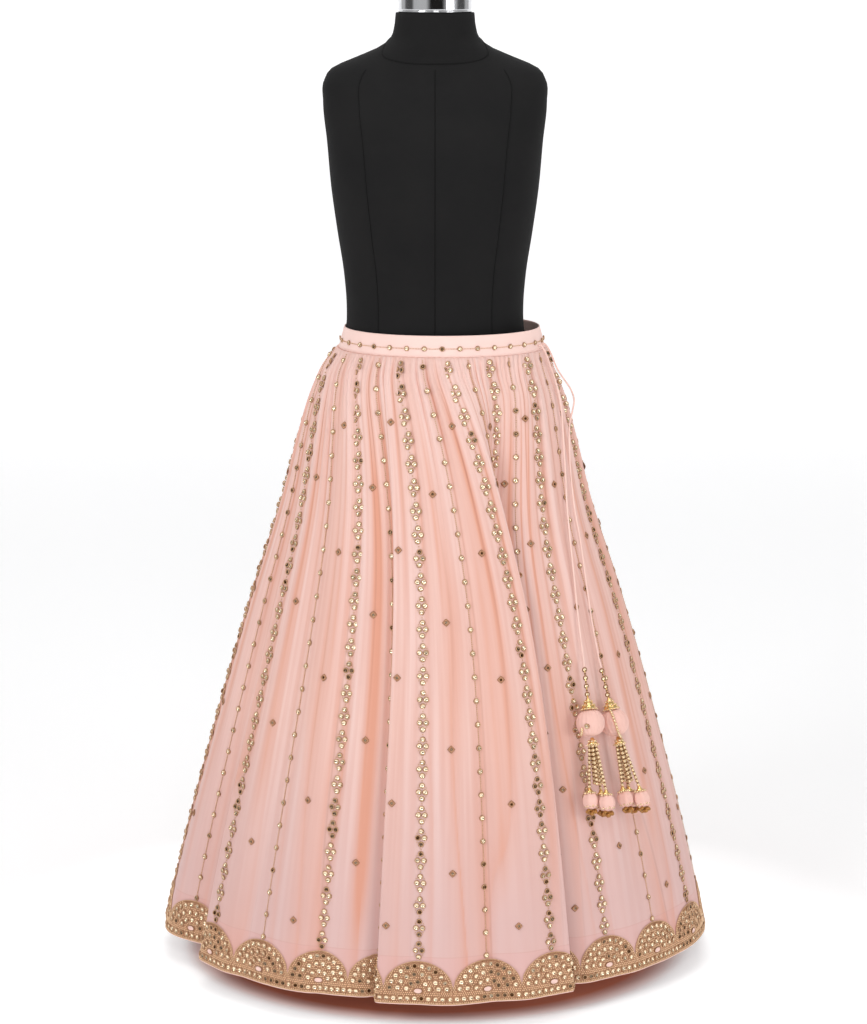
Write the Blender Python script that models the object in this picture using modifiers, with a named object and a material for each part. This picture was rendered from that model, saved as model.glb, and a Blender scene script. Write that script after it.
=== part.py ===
"""A gathered lehenga skirt on a limbless dress form.

Metres, +Z up, the front of the skirt at -Y. The origin is the centre of the
underside of the form's round base. The skirt is a tube of cloth: ten
flared panels gathered into a waistband, with a scalloped border laid over the
hem, and a drawstring with two tassels at the side.
"""
import math
from bisect import bisect_right
from collections import namedtuple

import bmesh
import bpy
from mathutils import Vector

# Clearance between pieces that touch.
GAP = 0.0003

# Cloth round the skirt is counted in scallops of its border, as "arch".
PANELS = 10
ARCHES_PER_PANEL = 3
ARCHES = PANELS * ARCHES_PER_PANEL
GATHERS_PER_ARCH = 3
COLUMNS_PER_ARCH = 9
CLOTH_WALL = 0.0016

# The arch that hangs at the middle of the front, at the waist and at the hem.
WAIST_FRONT_ARCH = 6.85
HEM_FRONT_ARCH = 5.245
# The gathers are pulled a little apart at the front and closer at the back.
WAIST_SPREAD = 0.145

# Outline of the skirt: one row for each level, with its reach to the left, to the
# right and to front and back, the power of its oval, and the height of the
# gathers and of the softer drape waves that stand on it.
Level = namedtuple("Level", "height left right depth power gather drape")
SKIRT_LEVELS = [
    Level(1.0217, 0.1575, 0.1780, 0.1195, 2.10, 0.0012, 0.0000),
    Level(0.9960, 0.1770, 0.1870, 0.1310, 2.08, 0.0034, 0.0000),
    Level(0.9560, 0.1960, 0.2040, 0.1460, 2.05, 0.0032, 0.0008),
    Level(0.8900, 0.2180, 0.2240, 0.1670, 2.00, 0.0022, 0.0022),
    Level(0.7800, 0.2480, 0.2520, 0.2020, 1.96, 0.0013, 0.0036),
    Level(0.6100, 0.3020, 0.3080, 0.2530, 1.92, 0.0006, 0.0040),
    Level(0.3800, 0.3690, 0.3740, 0.3060, 1.88, 0.0002, 0.0034),
    Level(0.1170, 0.4390, 0.4400, 0.3460, 1.85, 0.0000, 0.0024),
    Level(0.0450, 0.4550, 0.4550, 0.3560, 1.85, 0.0000, 0.0022),
]

# Large folds. The edge is the arch at the fold's visible edge, and the length is how
# many arches lie hidden in it: they run in to the fold's tip and out again. The step
# is how far apart those two layers lie, and how deep the cloth beyond the fold comes
# out; top is the share of the step that is left at the waist. The lean turns the fold
# from straight inward, at 0 degrees, to flat under its edge, at 90. On side +1 the
# cloth to the right of the edge goes in, on side -1 the cloth to the left does.
Fold = namedtuple("Fold", "edge length step top lean side recovery")
FOLDS = [
    Fold(0.62, 0.00, 0.046, 0.10, 90.0, -1, 1.3),
    Fold(4.34, 0.55, 0.018, 0.30, 50.0, -1, 1.2),
    Fold(7.36, 3.20, 0.020, 0.30, 62.0, 1, 2.6),
    Fold(15.60, 0.80, 0.018, 0.30, 40.0, 1, 1.2),
    Fold(18.40, 0.70, 0.020, 0.30, 50.0, -1, 1.1),
    Fold(21.00, 0.85, 0.018, 0.30, 35.0, 1, 1.3),
    Fold(24.30, 0.72, 0.020, 0.30, 55.0, -1, 1.2),
    Fold(27.20, 0.65, 0.018, 0.30, 45.0, 1, 1.1),
]
# Cloth over which a fold turns, in arches.
TURN = 0.36
# Share of the cloth's run that goes on round the hem while it lies in a fold.
FOLD_RUN = 0.05
# Flat hem that one arch of border covers, and how fast folds deepen downwards.
PITCH = 0.110
DEEPENING = 0.9
# How fast the cloth leaves its even spread at the waist for its folds lower down.
SETTLING = 6
FOLD_START = 0.07
LEAN_START = 0.35
# Waves lie flatter near a fold, where the layers are close.
CALM_REACH = 0.5
CALM_SHARE = 0.8
RUN_STEPS = 60
OVAL_STEPS = 720

# Scalloped border, measured up the cloth from the hem.
BORDER_WALL = 0.0010
BORDER_LIFT = 0.0005
BORDER_VALLEY = 0.021
BORDER_APEX = 0.066

# Waistband: top edge and lower seam.
BAND_WALL = 0.0022
BAND_COLUMNS = 48
Ring = namedtuple("Ring", "height left right depth power")
BAND_TOP = Ring(1.0560, 0.1456, 0.1680, 0.1165, 2.10)
BAND_FOOT = Ring(1.0220, 0.1550, 0.1770, 0.1185, 2.10)

# Dress form: base, pole and cap.
BASE_RADIUS = 0.190
BASE_HEIGHT = 0.014
BASE_EDGE = 0.004
POLE_RADIUS = 0.015
POLE_SIDES = 16
CAP_RADIUS = 0.0575
CAP_HEIGHT = 0.034
CAP_DOME = 0.014
TURNED_SIDES = 32

# Drawstring: two tails that leave the band's side and end in a tassel each. The
# second one hangs in a slack loop first. Route points lie on the cord's middle line.
CORD_DIAMETER = 0.003
CORD_STEPS = 3
TAIL_ROUTES = {
    "drawstring_tail_a": [
        (0.1639, -0.0458, 1.0300), (0.1690, -0.0486, 1.0296), (0.1756, -0.0512, 1.0190),
        (0.1822, -0.0517, 1.0011), (0.1892, -0.0540, 0.9812), (0.1960, -0.0618, 0.9569),
        (0.2012, -0.0704, 0.9259), (0.2038, -0.0831, 0.8831), (0.2066, -0.0978, 0.8374),
        (0.2091, -0.1119, 0.7835), (0.2139, -0.1313, 0.7312), (0.2201, -0.1506, 0.6707),
        (0.2271, -0.1713, 0.6030),
    ],
    "drawstring_tail_b": [
        (0.1705, -0.0299, 1.0300), (0.1757, -0.0315, 1.0297), (0.1835, -0.0335, 1.0180),
        (0.1955, -0.0330, 0.9900), (0.2085, -0.0265, 0.9700), (0.2183, -0.0225, 0.9545),
        (0.2232, -0.0260, 0.9385), (0.2200, -0.0390, 0.9235), (0.2147, -0.0588, 0.9054),
        (0.2134, -0.0753, 0.8822), (0.2151, -0.0900, 0.8362), (0.2207, -0.1030, 0.7822),
        (0.2306, -0.1161, 0.7276), (0.2396, -0.1322, 0.6657), (0.2501, -0.1486, 0.5961),
    ],
}

# Tassels: top of the bead row, way it hangs, and way its strands hang.
Hang = namedtuple("Hang", "top way strands")
TASSEL_HANGS = {
    "a": Hang((0.2351, -0.1901, 0.5410), (0.100, -0.373, -0.922), (0.13, -0.16, -0.98)),
    "b": Hang((0.2634, -0.1652, 0.5320), (0.230, -0.309, -0.922), (0.24, -0.10, -0.97)),
}
CORD_END_RUN = 0.008
CORD_END_GAP = 0.0009
BEADS = 4
BEAD_PITCH = 0.0130
BEAD_RADIUS = 0.0042
BEAD_HEIGHT = 0.0084
LINK_RADIUS = 0.0013
CONE_TOP = 0.0480
CONE_FOOT = 0.0660
CONE_RADIUS = 0.0120
CONE_DROP = 0.0013
BALL_RADIUS = 0.0230
BALL_FLAT = 0.0050
BALL_RINGS = 8
BEAD_SIDES = 8
BALL_SIDES = 14
ROOT_WIDTH = 0.0150
ROOT_HEIGHT = 0.0080
STRAND_WIDTH = 0.0050
STRAND_LENGTH = 0.074
BUD_SPREAD = 0.0162
BUD_WIDTH = 0.0250
BUD_HEIGHT = 0.0300
CLUSTER_WIDTH = 0.0165
CLUSTER_HEIGHT = 0.0140

# Torso of the form, from its underside to the neck: half width, half depth, how far
# the section stands forward, and the power of its oval.
Section = namedtuple("Section", "height width depth forward power")
TORSO_SECTIONS = [
    Section(0.8000, 0.1500, 0.1040, 0.000, 2.15),
    Section(0.8080, 0.1620, 0.1140, 0.000, 2.15),
    Section(0.8400, 0.1700, 0.1200, 0.000, 2.15),
    Section(0.8900, 0.1720, 0.1220, 0.000, 2.15),
    Section(0.9400, 0.1680, 0.1200, 0.000, 2.15),
    Section(0.9900, 0.1560, 0.1150, 0.000, 2.12),
    Section(1.0300, 0.1465, 0.1105, 0.000, 2.10),
    Section(1.0600, 0.1420, 0.1090, 0.000, 2.10),
    Section(1.0900, 0.1415, 0.1080, 0.000, 2.10),
    Section(1.1400, 0.1450, 0.1090, 0.002, 2.10),
    Section(1.2100, 0.1550, 0.1180, 0.008, 2.15),
    Section(1.2800, 0.1640, 0.1250, 0.012, 2.20),
    Section(1.3500, 0.1700, 0.1130, 0.008, 2.30),
    Section(1.4100, 0.1760, 0.0950, 0.000, 2.40),
    Section(1.4450, 0.1740, 0.0800, -0.004, 2.40),
    Section(1.4640, 0.1600, 0.0720, -0.006, 2.30),
    Section(1.4800, 0.1230, 0.0670, -0.006, 2.20),
    Section(1.4950, 0.0880, 0.0670, -0.004, 2.10),
    Section(1.5080, 0.0705, 0.0650, -0.002, 2.00),
    Section(1.5240, 0.0645, 0.0625, 0.000, 2.00),
    Section(1.5480, 0.0615, 0.0615, 0.000, 2.00),
]
TORSO_COLUMNS = 28


def smooth(value):
    """Rise smoothly from 0 at 0 to 1 at 1."""
    value = min(max(value, 0.0), 1.0)
    return value * value * (3.0 - 2.0 * value)


def signed_power(value, power):
    """A power that keeps the sign of its base."""
    return math.copysign(abs(value) ** power, value)


class Oval:
    """An oval outline that is walked by its share of the way round, from the front."""

    def __init__(self, left, right, depth, power):
        middle = (right - left) / 2.0
        width = (right + left) / 2.0
        self.points = []
        for step in range(OVAL_STEPS + 1):
            angle = 2.0 * math.pi * step / OVAL_STEPS - math.pi / 2.0
            self.points.append(Vector((
                middle + width * signed_power(math.cos(angle), 2.0 / power),
                depth * signed_power(math.sin(angle), 2.0 / power),
            )))
        self.walked = [0.0]
        for first, second in zip(self.points, self.points[1:]):
            self.walked.append(self.walked[-1] + (second - first).length)
        self.length = self.walked[-1]

    def at(self, share):
        """The point and the outward direction at this share of the way round."""
        distance = (share % 1.0) * self.length
        index = min(bisect_right(self.walked, distance) - 1, OVAL_STEPS - 1)
        first = self.points[index]
        along = self.points[index + 1] - first
        point = first + along * ((distance - self.walked[index]) / along.length)
        return point, Vector((along.y, -along.x)).normalized()


def past_edge(fold, arch):
    """How far the cloth at this arch lies past the fold's edge, towards its tip."""
    half = ARCHES / 2.0
    return fold.side * ((arch - fold.edge + half) % ARCHES - half)


def hidden(fold, past):
    """1 on the cloth that lies inside a fold, 0 elsewhere."""
    if fold.length == 0.0:
        return 0.0
    return smooth(past / TURN + 0.5) - smooth((past - fold.length) / TURN + 0.5)


def hidden_share(arch):
    """How much of the cloth at this arch lies inside a fold."""
    return sum(hidden(fold, past_edge(fold, arch)) for fold in FOLDS)


def ridge(past, length):
    """A rounded tent that rises from 0 at the fold's edge to 1 at its tip, and falls."""
    total = 0.0
    samples = 7
    for sample in range(samples):
        place = past + TURN * 0.7 * ((sample + 0.5) / samples - 0.5)
        total += max(1.0 - abs(2.0 * place / length - 1.0), 0.0)
    return total / samples


def fold_shift(fold, past, down):
    """How far a fold moves the cloth inward and sideways, at a share of the way down."""
    lean = math.radians(fold.lean)
    tent = 0.0
    if fold.length > 0.0:
        lean *= smooth(down / LEAN_START)
        half = 0.5 * fold.length * PITCH * (1.0 - FOLD_RUN) * down ** DEEPENING
        tent = half * ridge(past, fold.length)
    step = fold.step * smooth(down / FOLD_START) * (fold.top + (1.0 - fold.top) * down)
    step *= smooth((past - 0.5 * fold.length) / TURN + 0.5)
    step *= 1.0 - smooth((past - fold.length) / fold.recovery)
    inward = tent * math.cos(lean) + step * math.sin(lean)
    sideways = fold.side * (step * math.cos(lean) - tent * math.sin(lean))
    return inward, sideways


def calm(arch):
    """How much the nearest fold flattens the waves of the cloth."""
    nearest = 0.0
    for fold in FOLDS:
        aside = abs(past_edge(fold, arch) - 0.5 * fold.length) - 0.5 * fold.length
        nearest = max(nearest, 1.0 - smooth((aside - TURN) / CALM_REACH))
    return CALM_SHARE * nearest


def hem_walk():
    """Arches walked round the hem at each step of the cloth; folds hardly advance."""
    walk = [0.0]
    for step in range(ARCHES * RUN_STEPS):
        inside = hidden_share((step + 0.5) / RUN_STEPS)
        walk.append(walk[-1] + (1.0 - (1.0 - FOLD_RUN) * inside) / RUN_STEPS)
    return walk


HEM_WALK = hem_walk()


def walked_at_hem(arch):
    """Arches walked round the hem from arch 0 to this one."""
    turns = math.floor(arch / ARCHES)
    step = (arch - turns * ARCHES) * RUN_STEPS
    index = min(int(step), ARCHES * RUN_STEPS - 1)
    rest = step - index
    inside = HEM_WALK[index] * (1.0 - rest) + HEM_WALK[index + 1] * rest
    return inside + turns * HEM_WALK[-1]


def share_round(arch, down):
    """Where an arch hangs, as a share of the way round, at a share of the way down."""
    turn = (arch - WAIST_FRONT_ARCH) / ARCHES
    at_waist = turn + WAIST_SPREAD * math.sin(2.0 * math.pi * turn) / (2.0 * math.pi)
    at_hem = (walked_at_hem(arch) - walked_at_hem(HEM_FRONT_ARCH)) / HEM_WALK[-1]
    settled = 1.0 - (1.0 - down) ** SETTLING
    return at_waist * (1.0 - settled) + at_hem * settled


def waves(level, arch, down):
    """How far gathers and drape stand out from the outline at this arch."""
    gather = math.cos(2.0 * math.pi * GATHERS_PER_ARCH * arch)
    drape = -math.cos(2.0 * math.pi * arch + 0.9 * math.sin(1.7 * arch))
    uneven = 0.75 + 0.25 * math.sin(2.0 * math.pi * 5.0 * arch / ARCHES)
    flat = 1.0 - calm(arch) * smooth(down / FOLD_START)
    return (level.gather * gather + level.drape * uneven * drape) * flat


def cloth_point(level, oval, arch):
    """The middle of the cloth's wall at one level and arch."""
    top = SKIRT_LEVELS[0].height
    down = (top - level.height) / (top - SKIRT_LEVELS[-1].height)
    point, outward = oval.at(share_round(arch, down))
    onward = Vector((-outward.y, outward.x))
    point = point + outward * waves(level, arch, down)
    for fold in FOLDS:
        inward, sideways = fold_shift(fold, past_edge(fold, arch), down)
        point = point - outward * inward + onward * sideways
    return point


def column_arch(column):
    """The arch at a column of the cloth; columns start in the valley before arch 0."""
    return column / COLUMNS_PER_ARCH - 0.5


def wall_direction(before, here, after):
    """Outward across the wall at a column, lengthened where the cloth turns."""
    first = (here - before).normalized()
    second = (after - here).normalized()
    across = Vector((first.y + second.y, -first.x - second.x))
    if across.length < 0.2:
        across = Vector((first.y, -first.x))
    across.normalize()
    cosine = across.dot(Vector((first.y, -first.x)))
    return across / max(cosine, 0.75)


def skirt_rings():
    """For each level, the middle points and outward directions of all columns."""
    rings = []
    for level in SKIRT_LEVELS:
        oval = Oval(level.left, level.right, level.depth, level.power)
        count = ARCHES * COLUMNS_PER_ARCH
        middle = [cloth_point(level, oval, column_arch(column)) for column in range(count)]
        outward = [
            wall_direction(middle[column - 1], middle[column], middle[(column + 1) % count])
            for column in range(count)
        ]
        rings.append((level.height, middle, outward))
    return rings


def add_object(name, mesh, material):
    """Link a finished mesh as one named piece of the model."""
    piece = bpy.data.objects.new(name, mesh)
    mesh.materials.append(material)
    PIECES.objects.link(piece)
    return piece


def wall_mesh(name, outer, inner, closed):
    """A closed wall between two grids of points, rows from top to bottom."""
    rows = len(outer)
    columns = len(outer[0])
    points = [point for grid in (outer, inner) for row in grid for point in row]
    inside = rows * columns
    last = columns if closed else columns - 1
    faces = []

    def quad(first, second, third, fourth):
        faces.append((first, second, third))
        faces.append((first, third, fourth))

    for column in range(last):
        after = (column + 1) % columns
        for row in range(rows - 1):
            here = row * columns
            below = here + columns
            quad(here + column, below + column, below + after, here + after)
            back = inside
            faces.append((back + here + column, back + below + after, back + below + column))
            faces.append((back + here + column, back + here + after, back + below + after))
        foot = (rows - 1) * columns
        quad(column, after, inside + after, inside + column)
        quad(foot + after, foot + column, inside + foot + column, inside + foot + after)
    if not closed:
        for row in range(rows - 1):
            here = row * columns
            below = here + columns
            quad(here, inside + here, inside + below, below)
            end = columns - 1
            quad(here + end, below + end, inside + below + end, inside + here + end)
    mesh = bpy.data.meshes.new(name)
    mesh.from_pydata(points, [], faces)
    mesh.shade_smooth()
    mesh.set_sharp_from_angle(angle=math.radians(50.0))
    return mesh


def lifted(height, middle, outward, distance):
    """A point of the cloth moved out across its wall."""
    place = middle + outward * distance
    return Vector((place.x, place.y, height))


def make_panel(number, rings):
    """One flared panel, parted from its neighbours by the usual clearance."""
    total = ARCHES * COLUMNS_PER_ARCH
    width = ARCHES_PER_PANEL * COLUMNS_PER_ARCH
    first = number * width
    outer = []
    inner = []
    for height, middle, outward in rings:
        outer_row = []
        inner_row = []
        for column in range(first, first + width + 1):
            place = middle[column % total]
            if column == first:
                place = place + (middle[(column + 1) % total] - place).normalized() * GAP / 2.0
            elif column == first + width:
                place = place + (middle[(column - 1) % total] - place).normalized() * GAP / 2.0
            across = outward[column % total]
            outer_row.append(lifted(height, place, across, CLOTH_WALL / 2.0))
            inner_row.append(lifted(height, place, across, -CLOTH_WALL / 2.0))
        outer.append(outer_row)
        inner.append(inner_row)
    name = f"kali_{number + 1:02d}"
    add_object(name, wall_mesh(name, outer, inner, False), BLUSH)


def border_height(arch):
    """Height of the scalloped border above the hem at this arch."""
    aside = 2.0 * (arch - round(arch))
    rise = math.sqrt(max(1.0 - aside * aside, 0.0))
    return BORDER_VALLEY + (BORDER_APEX - BORDER_VALLEY) * rise


def make_border(rings):
    """The border: its points are the panels' own points, moved out."""
    high, high_middle, high_outward = rings[-2]
    low, low_middle, low_outward = rings[-1]
    near = CLOTH_WALL / 2.0 + BORDER_LIFT
    far = near + BORDER_WALL
    grids = []
    for distance in (far, near):
        top_row = []
        foot_row = []
        for column in range(ARCHES * COLUMNS_PER_ARCH):
            foot = lifted(low, low_middle[column], low_outward[column], distance)
            head = lifted(high, high_middle[column], high_outward[column], distance)
            share = border_height(column_arch(column)) / (high - low)
            top_row.append(foot.lerp(head, share))
            foot_row.append(foot)
        grids.append([top_row, foot_row])
    add_object("hem_border", wall_mesh("hem_border", grids[0], grids[1], True), GOLD_THREAD)


def make_waistband():
    """A plain folded band, closed round the waist."""
    grids = []
    for inward in (0.0, BAND_WALL):
        grid = []
        for ring in (BAND_TOP, BAND_FOOT):
            oval = Oval(ring.left - inward, ring.right - inward, ring.depth - inward, ring.power)
            row = []
            for column in range(BAND_COLUMNS):
                point = oval.at(column / BAND_COLUMNS)[0]
                row.append(Vector((point.x, point.y, ring.height)))
            grid.append(row)
        grids.append(grid)
    add_object("waistband", wall_mesh("waistband", grids[0], grids[1], True), BLUSH)


def make_torso():
    """The form's body: one smooth loft through its sections."""
    shape = bmesh.new()
    rings = []
    for section in TORSO_SECTIONS:
        ring = []
        for column in range(TORSO_COLUMNS):
            angle = 2.0 * math.pi * column / TORSO_COLUMNS
            ring.append(shape.verts.new((
                section.width * signed_power(math.cos(angle), 2.0 / section.power),
                section.depth * signed_power(math.sin(angle), 2.0 / section.power)
                - section.forward,
                section.height,
            )))
        rings.append(ring)
    for low, high in zip(rings, rings[1:]):
        for column in range(TORSO_COLUMNS):
            after = (column + 1) % TORSO_COLUMNS
            shape.faces.new((low[column], low[after], high[after], high[column]))
    shape.faces.new(reversed(rings[0]))
    shape.faces.new(rings[-1])
    mesh = bpy.data.meshes.new("form_torso")
    shape.to_mesh(mesh)
    shape.free()
    mesh.shade_smooth()
    mesh.set_sharp_from_angle(angle=math.radians(50.0))
    add_object("form_torso", mesh, BLACK_CLOTH)


def make_turned(name, profile, sides, material):
    """A turned piece from its profile: radius and height, from the top down."""
    mesh = bpy.data.meshes.new(name)
    points = [(radius, 0.0, height) for radius, height in profile]
    edges = [(index, index + 1) for index in range(len(profile) - 1)]
    mesh.from_pydata(points, edges, [])
    piece = add_object(name, mesh, material)
    screw = piece.modifiers.new("turn", "SCREW")
    screw.axis = "Z"
    screw.steps = sides
    screw.render_steps = sides
    screw.use_merge_vertices = True
    screw.merge_threshold = 0.00001
    screw.use_smooth_shade = True
    return piece


def make_stand():
    """Round base, pole and neck cap of the form."""
    make_turned("form_base", [
        (0.0, BASE_HEIGHT),
        (BASE_RADIUS - BASE_EDGE, BASE_HEIGHT),
        (BASE_RADIUS, BASE_HEIGHT - BASE_EDGE),
        (BASE_RADIUS, 0.0),
        (0.0, 0.0),
    ], TURNED_SIDES, PAINTED_METAL)
    top = TORSO_SECTIONS[0].height - GAP
    foot = BASE_HEIGHT + GAP
    make_turned("form_pole", [
        (0.0, top), (POLE_RADIUS, top), (POLE_RADIUS, foot), (0.0, foot),
    ], POLE_SIDES, PAINTED_METAL)
    neck = TORSO_SECTIONS[-1].height + GAP
    rim = neck + CAP_HEIGHT
    make_turned("neck_cap", [
        (0.0, rim + CAP_DOME),
        (CAP_RADIUS * 0.45, rim + CAP_DOME * 0.86),
        (CAP_RADIUS * 0.80, rim + CAP_DOME * 0.45),
        (CAP_RADIUS - 0.002, rim + 0.002),
        (CAP_RADIUS, rim),
        (CAP_RADIUS, neck + 0.002),
        (CAP_RADIUS - 0.002, neck),
        (0.0, neck),
    ], TURNED_SIDES, CHROME)


def curve_through(points, steps):
    """Points on one smooth curve through the route's own points."""
    route = [Vector(point) for point in points]
    route = [route[0] * 2.0 - route[1]] + route + [route[-1] * 2.0 - route[-2]]
    result = []
    for before, start, end, after in zip(route, route[1:], route[2:], route[3:]):
        for step in range(steps):
            share = step / steps
            result.append(0.5 * (
                2.0 * start
                + (end - before) * share
                + (2.0 * before - 5.0 * start + 4.0 * end - after) * share ** 2
                + (3.0 * start - before - 3.0 * end + after) * share ** 3
            ))
    result.append(route[-2])
    return result


def make_tail(name, hang):
    """One tail of the drawstring, down to the top of its tassel."""
    top = Vector(hang.top)
    way = Vector(hang.way).normalized()
    ends = (2.0 * CORD_END_RUN, CORD_END_RUN, CORD_END_GAP)
    route = TAIL_ROUTES[name] + [top - way * run for run in ends]
    points = curve_through(route, CORD_STEPS)
    curve = bpy.data.curves.new(name, "CURVE")
    curve.dimensions = "3D"
    curve.bevel_depth = CORD_DIAMETER / 2.0
    curve.bevel_resolution = 2
    curve.use_fill_caps = True
    spline = curve.splines.new("POLY")
    spline.points.add(len(points) - 1)
    for knot, point in zip(spline.points, points):
        knot.co = (*point, 1.0)
    curve.materials.append(BLUSH)
    PIECES.objects.link(bpy.data.objects.new(name, curve))


def place(piece, top, way):
    """Hang a piece that was made under its own origin along a direction."""
    piece.location = top
    piece.rotation_euler = (-way).to_track_quat("Z", "Y").to_euler()


def bead_row_profile():
    """Four ringed beads on a thin link, and the cone cap that sits on the ball."""
    half = BEAD_HEIGHT / 2.0
    profile = [(0.0, 0.0)]
    for bead in range(BEADS):
        middle = -half - bead * BEAD_PITCH
        profile += [
            (LINK_RADIUS, middle + half),
            (BEAD_RADIUS, middle + half * 0.45),
            (BEAD_RADIUS, middle - half * 0.45),
            (LINK_RADIUS, middle - half),
        ]
    profile += [
        (LINK_RADIUS, -CONE_TOP),
        (CONE_RADIUS * 0.4, -CONE_TOP - 0.003),
        (CONE_RADIUS * 0.8, -CONE_FOOT + 0.007),
        (CONE_RADIUS, -CONE_FOOT - CONE_DROP + 0.001),
        (CONE_RADIUS, -CONE_FOOT - CONE_DROP),
        (BALL_FLAT * 1.1, -CONE_FOOT),
        (0.0, -CONE_FOOT),
    ]
    return profile


def ball_profile():
    """A round ball with a small flat at its top and foot."""
    start = math.asin(BALL_FLAT / BALL_RADIUS)
    reach = BALL_RADIUS * math.cos(start)
    profile = [(0.0, 0.0)]
    for ring in range(BALL_RINGS + 1):
        angle = start + (math.pi - 2.0 * start) * ring / BALL_RINGS
        profile.append((BALL_RADIUS * math.sin(angle), BALL_RADIUS * math.cos(angle) - reach))
    profile.append((0.0, -2.0 * reach))
    return profile


def grow(shape, face, slope, stations):
    """Draw a strand out of one face: each station is x, y, height and half width."""
    for across, along, height, half in stations:
        drop = -ROOT_HEIGHT - height
        middle = face.calc_center_median()
        sides = {
            vert: (math.copysign(1.0, vert.co.x - middle.x), math.copysign(1.0, vert.co.y - middle.y))
            for vert in face.verts
        }
        corners = list(sides.values())
        face = bmesh.ops.extrude_discrete_faces(shape, faces=[face])["faces"][0]
        for vert, (right, back) in zip(face.verts, corners):
            vert.co = (
                across + slope.x * drop + right * half,
                along + slope.y * drop + back * half,
                height,
            )


def make_strands(name, slope):
    """A square root plate with three strands that end in buds, and two plain ones."""
    shape = bmesh.new()
    bmesh.ops.create_grid(shape, x_segments=3, y_segments=3, size=ROOT_WIDTH / 2.0)
    plate = bmesh.ops.extrude_face_region(shape, geom=shape.faces[:], use_keep_orig=True)
    lowered = [item for item in plate["geom"] if isinstance(item, bmesh.types.BMVert)]
    bmesh.ops.translate(shape, verts=lowered, vec=(0.0, 0.0, -ROOT_HEIGHT))
    bmesh.ops.recalc_face_normals(shape, faces=shape.faces[:])
    shape.faces.ensure_lookup_table()
    cells = {}
    for face in shape.faces:
        middle = face.calc_center_median()
        if middle.z < -ROOT_HEIGHT + 0.0001:
            cells[(round(middle.x / ROOT_WIDTH * 3.0), round(middle.y / ROOT_WIDTH * 3.0))] = face
    half = STRAND_WIDTH / 2.0
    foot = -ROOT_HEIGHT - STRAND_LENGTH
    for cell, turn in (((-1, -1), 240.0), ((1, 0), 0.0), ((-1, 1), 120.0)):
        across = BUD_SPREAD * math.cos(math.radians(turn))
        along = BUD_SPREAD * math.sin(math.radians(turn))
        grow(shape, cells[cell], slope, [
            (across * 0.55, along * 0.55, -ROOT_HEIGHT - STRAND_LENGTH * 0.35, half),
            (across, along, foot, half),
            (across, along, foot - 0.004, BUD_WIDTH * 0.30),
            (across, along, foot - BUD_HEIGHT * 0.5, BUD_WIDTH * 0.46),
            (across, along, foot - BUD_HEIGHT, BUD_WIDTH * 0.30),
            (across, along, foot - BUD_HEIGHT - 0.001, CLUSTER_WIDTH * 0.30),
            (across, along, foot - BUD_HEIGHT - CLUSTER_HEIGHT * 0.5, CLUSTER_WIDTH * 0.5),
            (across, along, foot - BUD_HEIGHT - CLUSTER_HEIGHT, CLUSTER_WIDTH * 0.25),
        ])
    for cell, reach in (((0, 1), 0.0066), ((1, -1), -0.0066)):
        grow(shape, cells[cell], slope, [
            (0.0036, reach, -ROOT_HEIGHT - STRAND_LENGTH * 0.4, half),
            (0.0036, reach, -ROOT_HEIGHT - STRAND_LENGTH * 0.9, half * 0.8),
        ])
    mesh = bpy.data.meshes.new(name)
    shape.to_mesh(mesh)
    shape.free()
    return add_object(name, mesh, GOLD_BEAD)


def make_tassel(letter, hang):
    """Bead row, cloth ball and strands of one tassel, each a piece of its own."""
    top = Vector(hang.top)
    way = Vector(hang.way).normalized()
    beads = make_turned(f"tassel_{letter}_beads", bead_row_profile(), BEAD_SIDES, GOLD_BEAD)
    place(beads, top, way)
    ball_top = top + way * (CONE_FOOT + GAP)
    ball = make_turned(f"tassel_{letter}_ball", ball_profile(), BALL_SIDES, BLUSH)
    place(ball, ball_top, way)
    height = 2.0 * math.sqrt(BALL_RADIUS ** 2 - BALL_FLAT ** 2)
    fall = (-way).to_track_quat("Z", "Y").inverted() @ Vector(hang.strands)
    slope = Vector((fall.x, fall.y)) / -fall.z
    strands = make_strands(f"tassel_{letter}_strands", slope)
    place(strands, ball_top + way * (height + GAP), way)


def make_material(name, colour, roughness, metallic):
    """A plain finish for one kind of piece."""
    material = bpy.data.materials.new(name)
    material.use_nodes = True
    shader = material.node_tree.nodes["Principled BSDF"]
    shader.inputs["Base Color"].default_value = (*colour, 1.0)
    shader.inputs["Roughness"].default_value = roughness
    shader.inputs["Metallic"].default_value = metallic
    return material


for leftover in list(bpy.data.objects):
    bpy.data.objects.remove(leftover, do_unlink=True)
PIECES = bpy.data.collections.new("lehenga_skirt")
bpy.context.scene.collection.children.link(PIECES)

BLUSH = make_material("blush georgette", (0.84, 0.56, 0.49), 0.75, 0.0)
GOLD_BEAD = make_material("gold bead", (0.70, 0.48, 0.20), 0.30, 0.9)
GOLD_THREAD = make_material("gold thread", (0.55, 0.36, 0.17), 0.50, 0.6)
BLACK_CLOTH = make_material("black form cloth", (0.012, 0.012, 0.012), 0.85, 0.0)
PAINTED_METAL = make_material("black painted metal", (0.02, 0.02, 0.02), 0.45, 0.0)
CHROME = make_material("chrome", (0.75, 0.75, 0.77), 0.12, 1.0)

RINGS = skirt_rings()
make_stand()
make_torso()
make_waistband()
for panel in range(PANELS):
    make_panel(panel, RINGS)
make_border(RINGS)
for tail_name, tail_hang in zip(TAIL_ROUTES, TASSEL_HANGS.values()):
    make_tail(tail_name, tail_hang)
for tassel_letter, tassel_hang in TASSEL_HANGS.items():
    make_tassel(tassel_letter, tassel_hang)
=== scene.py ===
"""The looks of a gathered lehenga skirt on a limbless dress form.

Metres, +Z up, the front of the skirt at -Y. The skirt's sizes are the ones its
solids were built from, so the fine cloth lies where they are. Round the skirt the
cloth is counted in scallops of its border, as "arch".
"""
import math
import random
from collections import namedtuple

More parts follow.
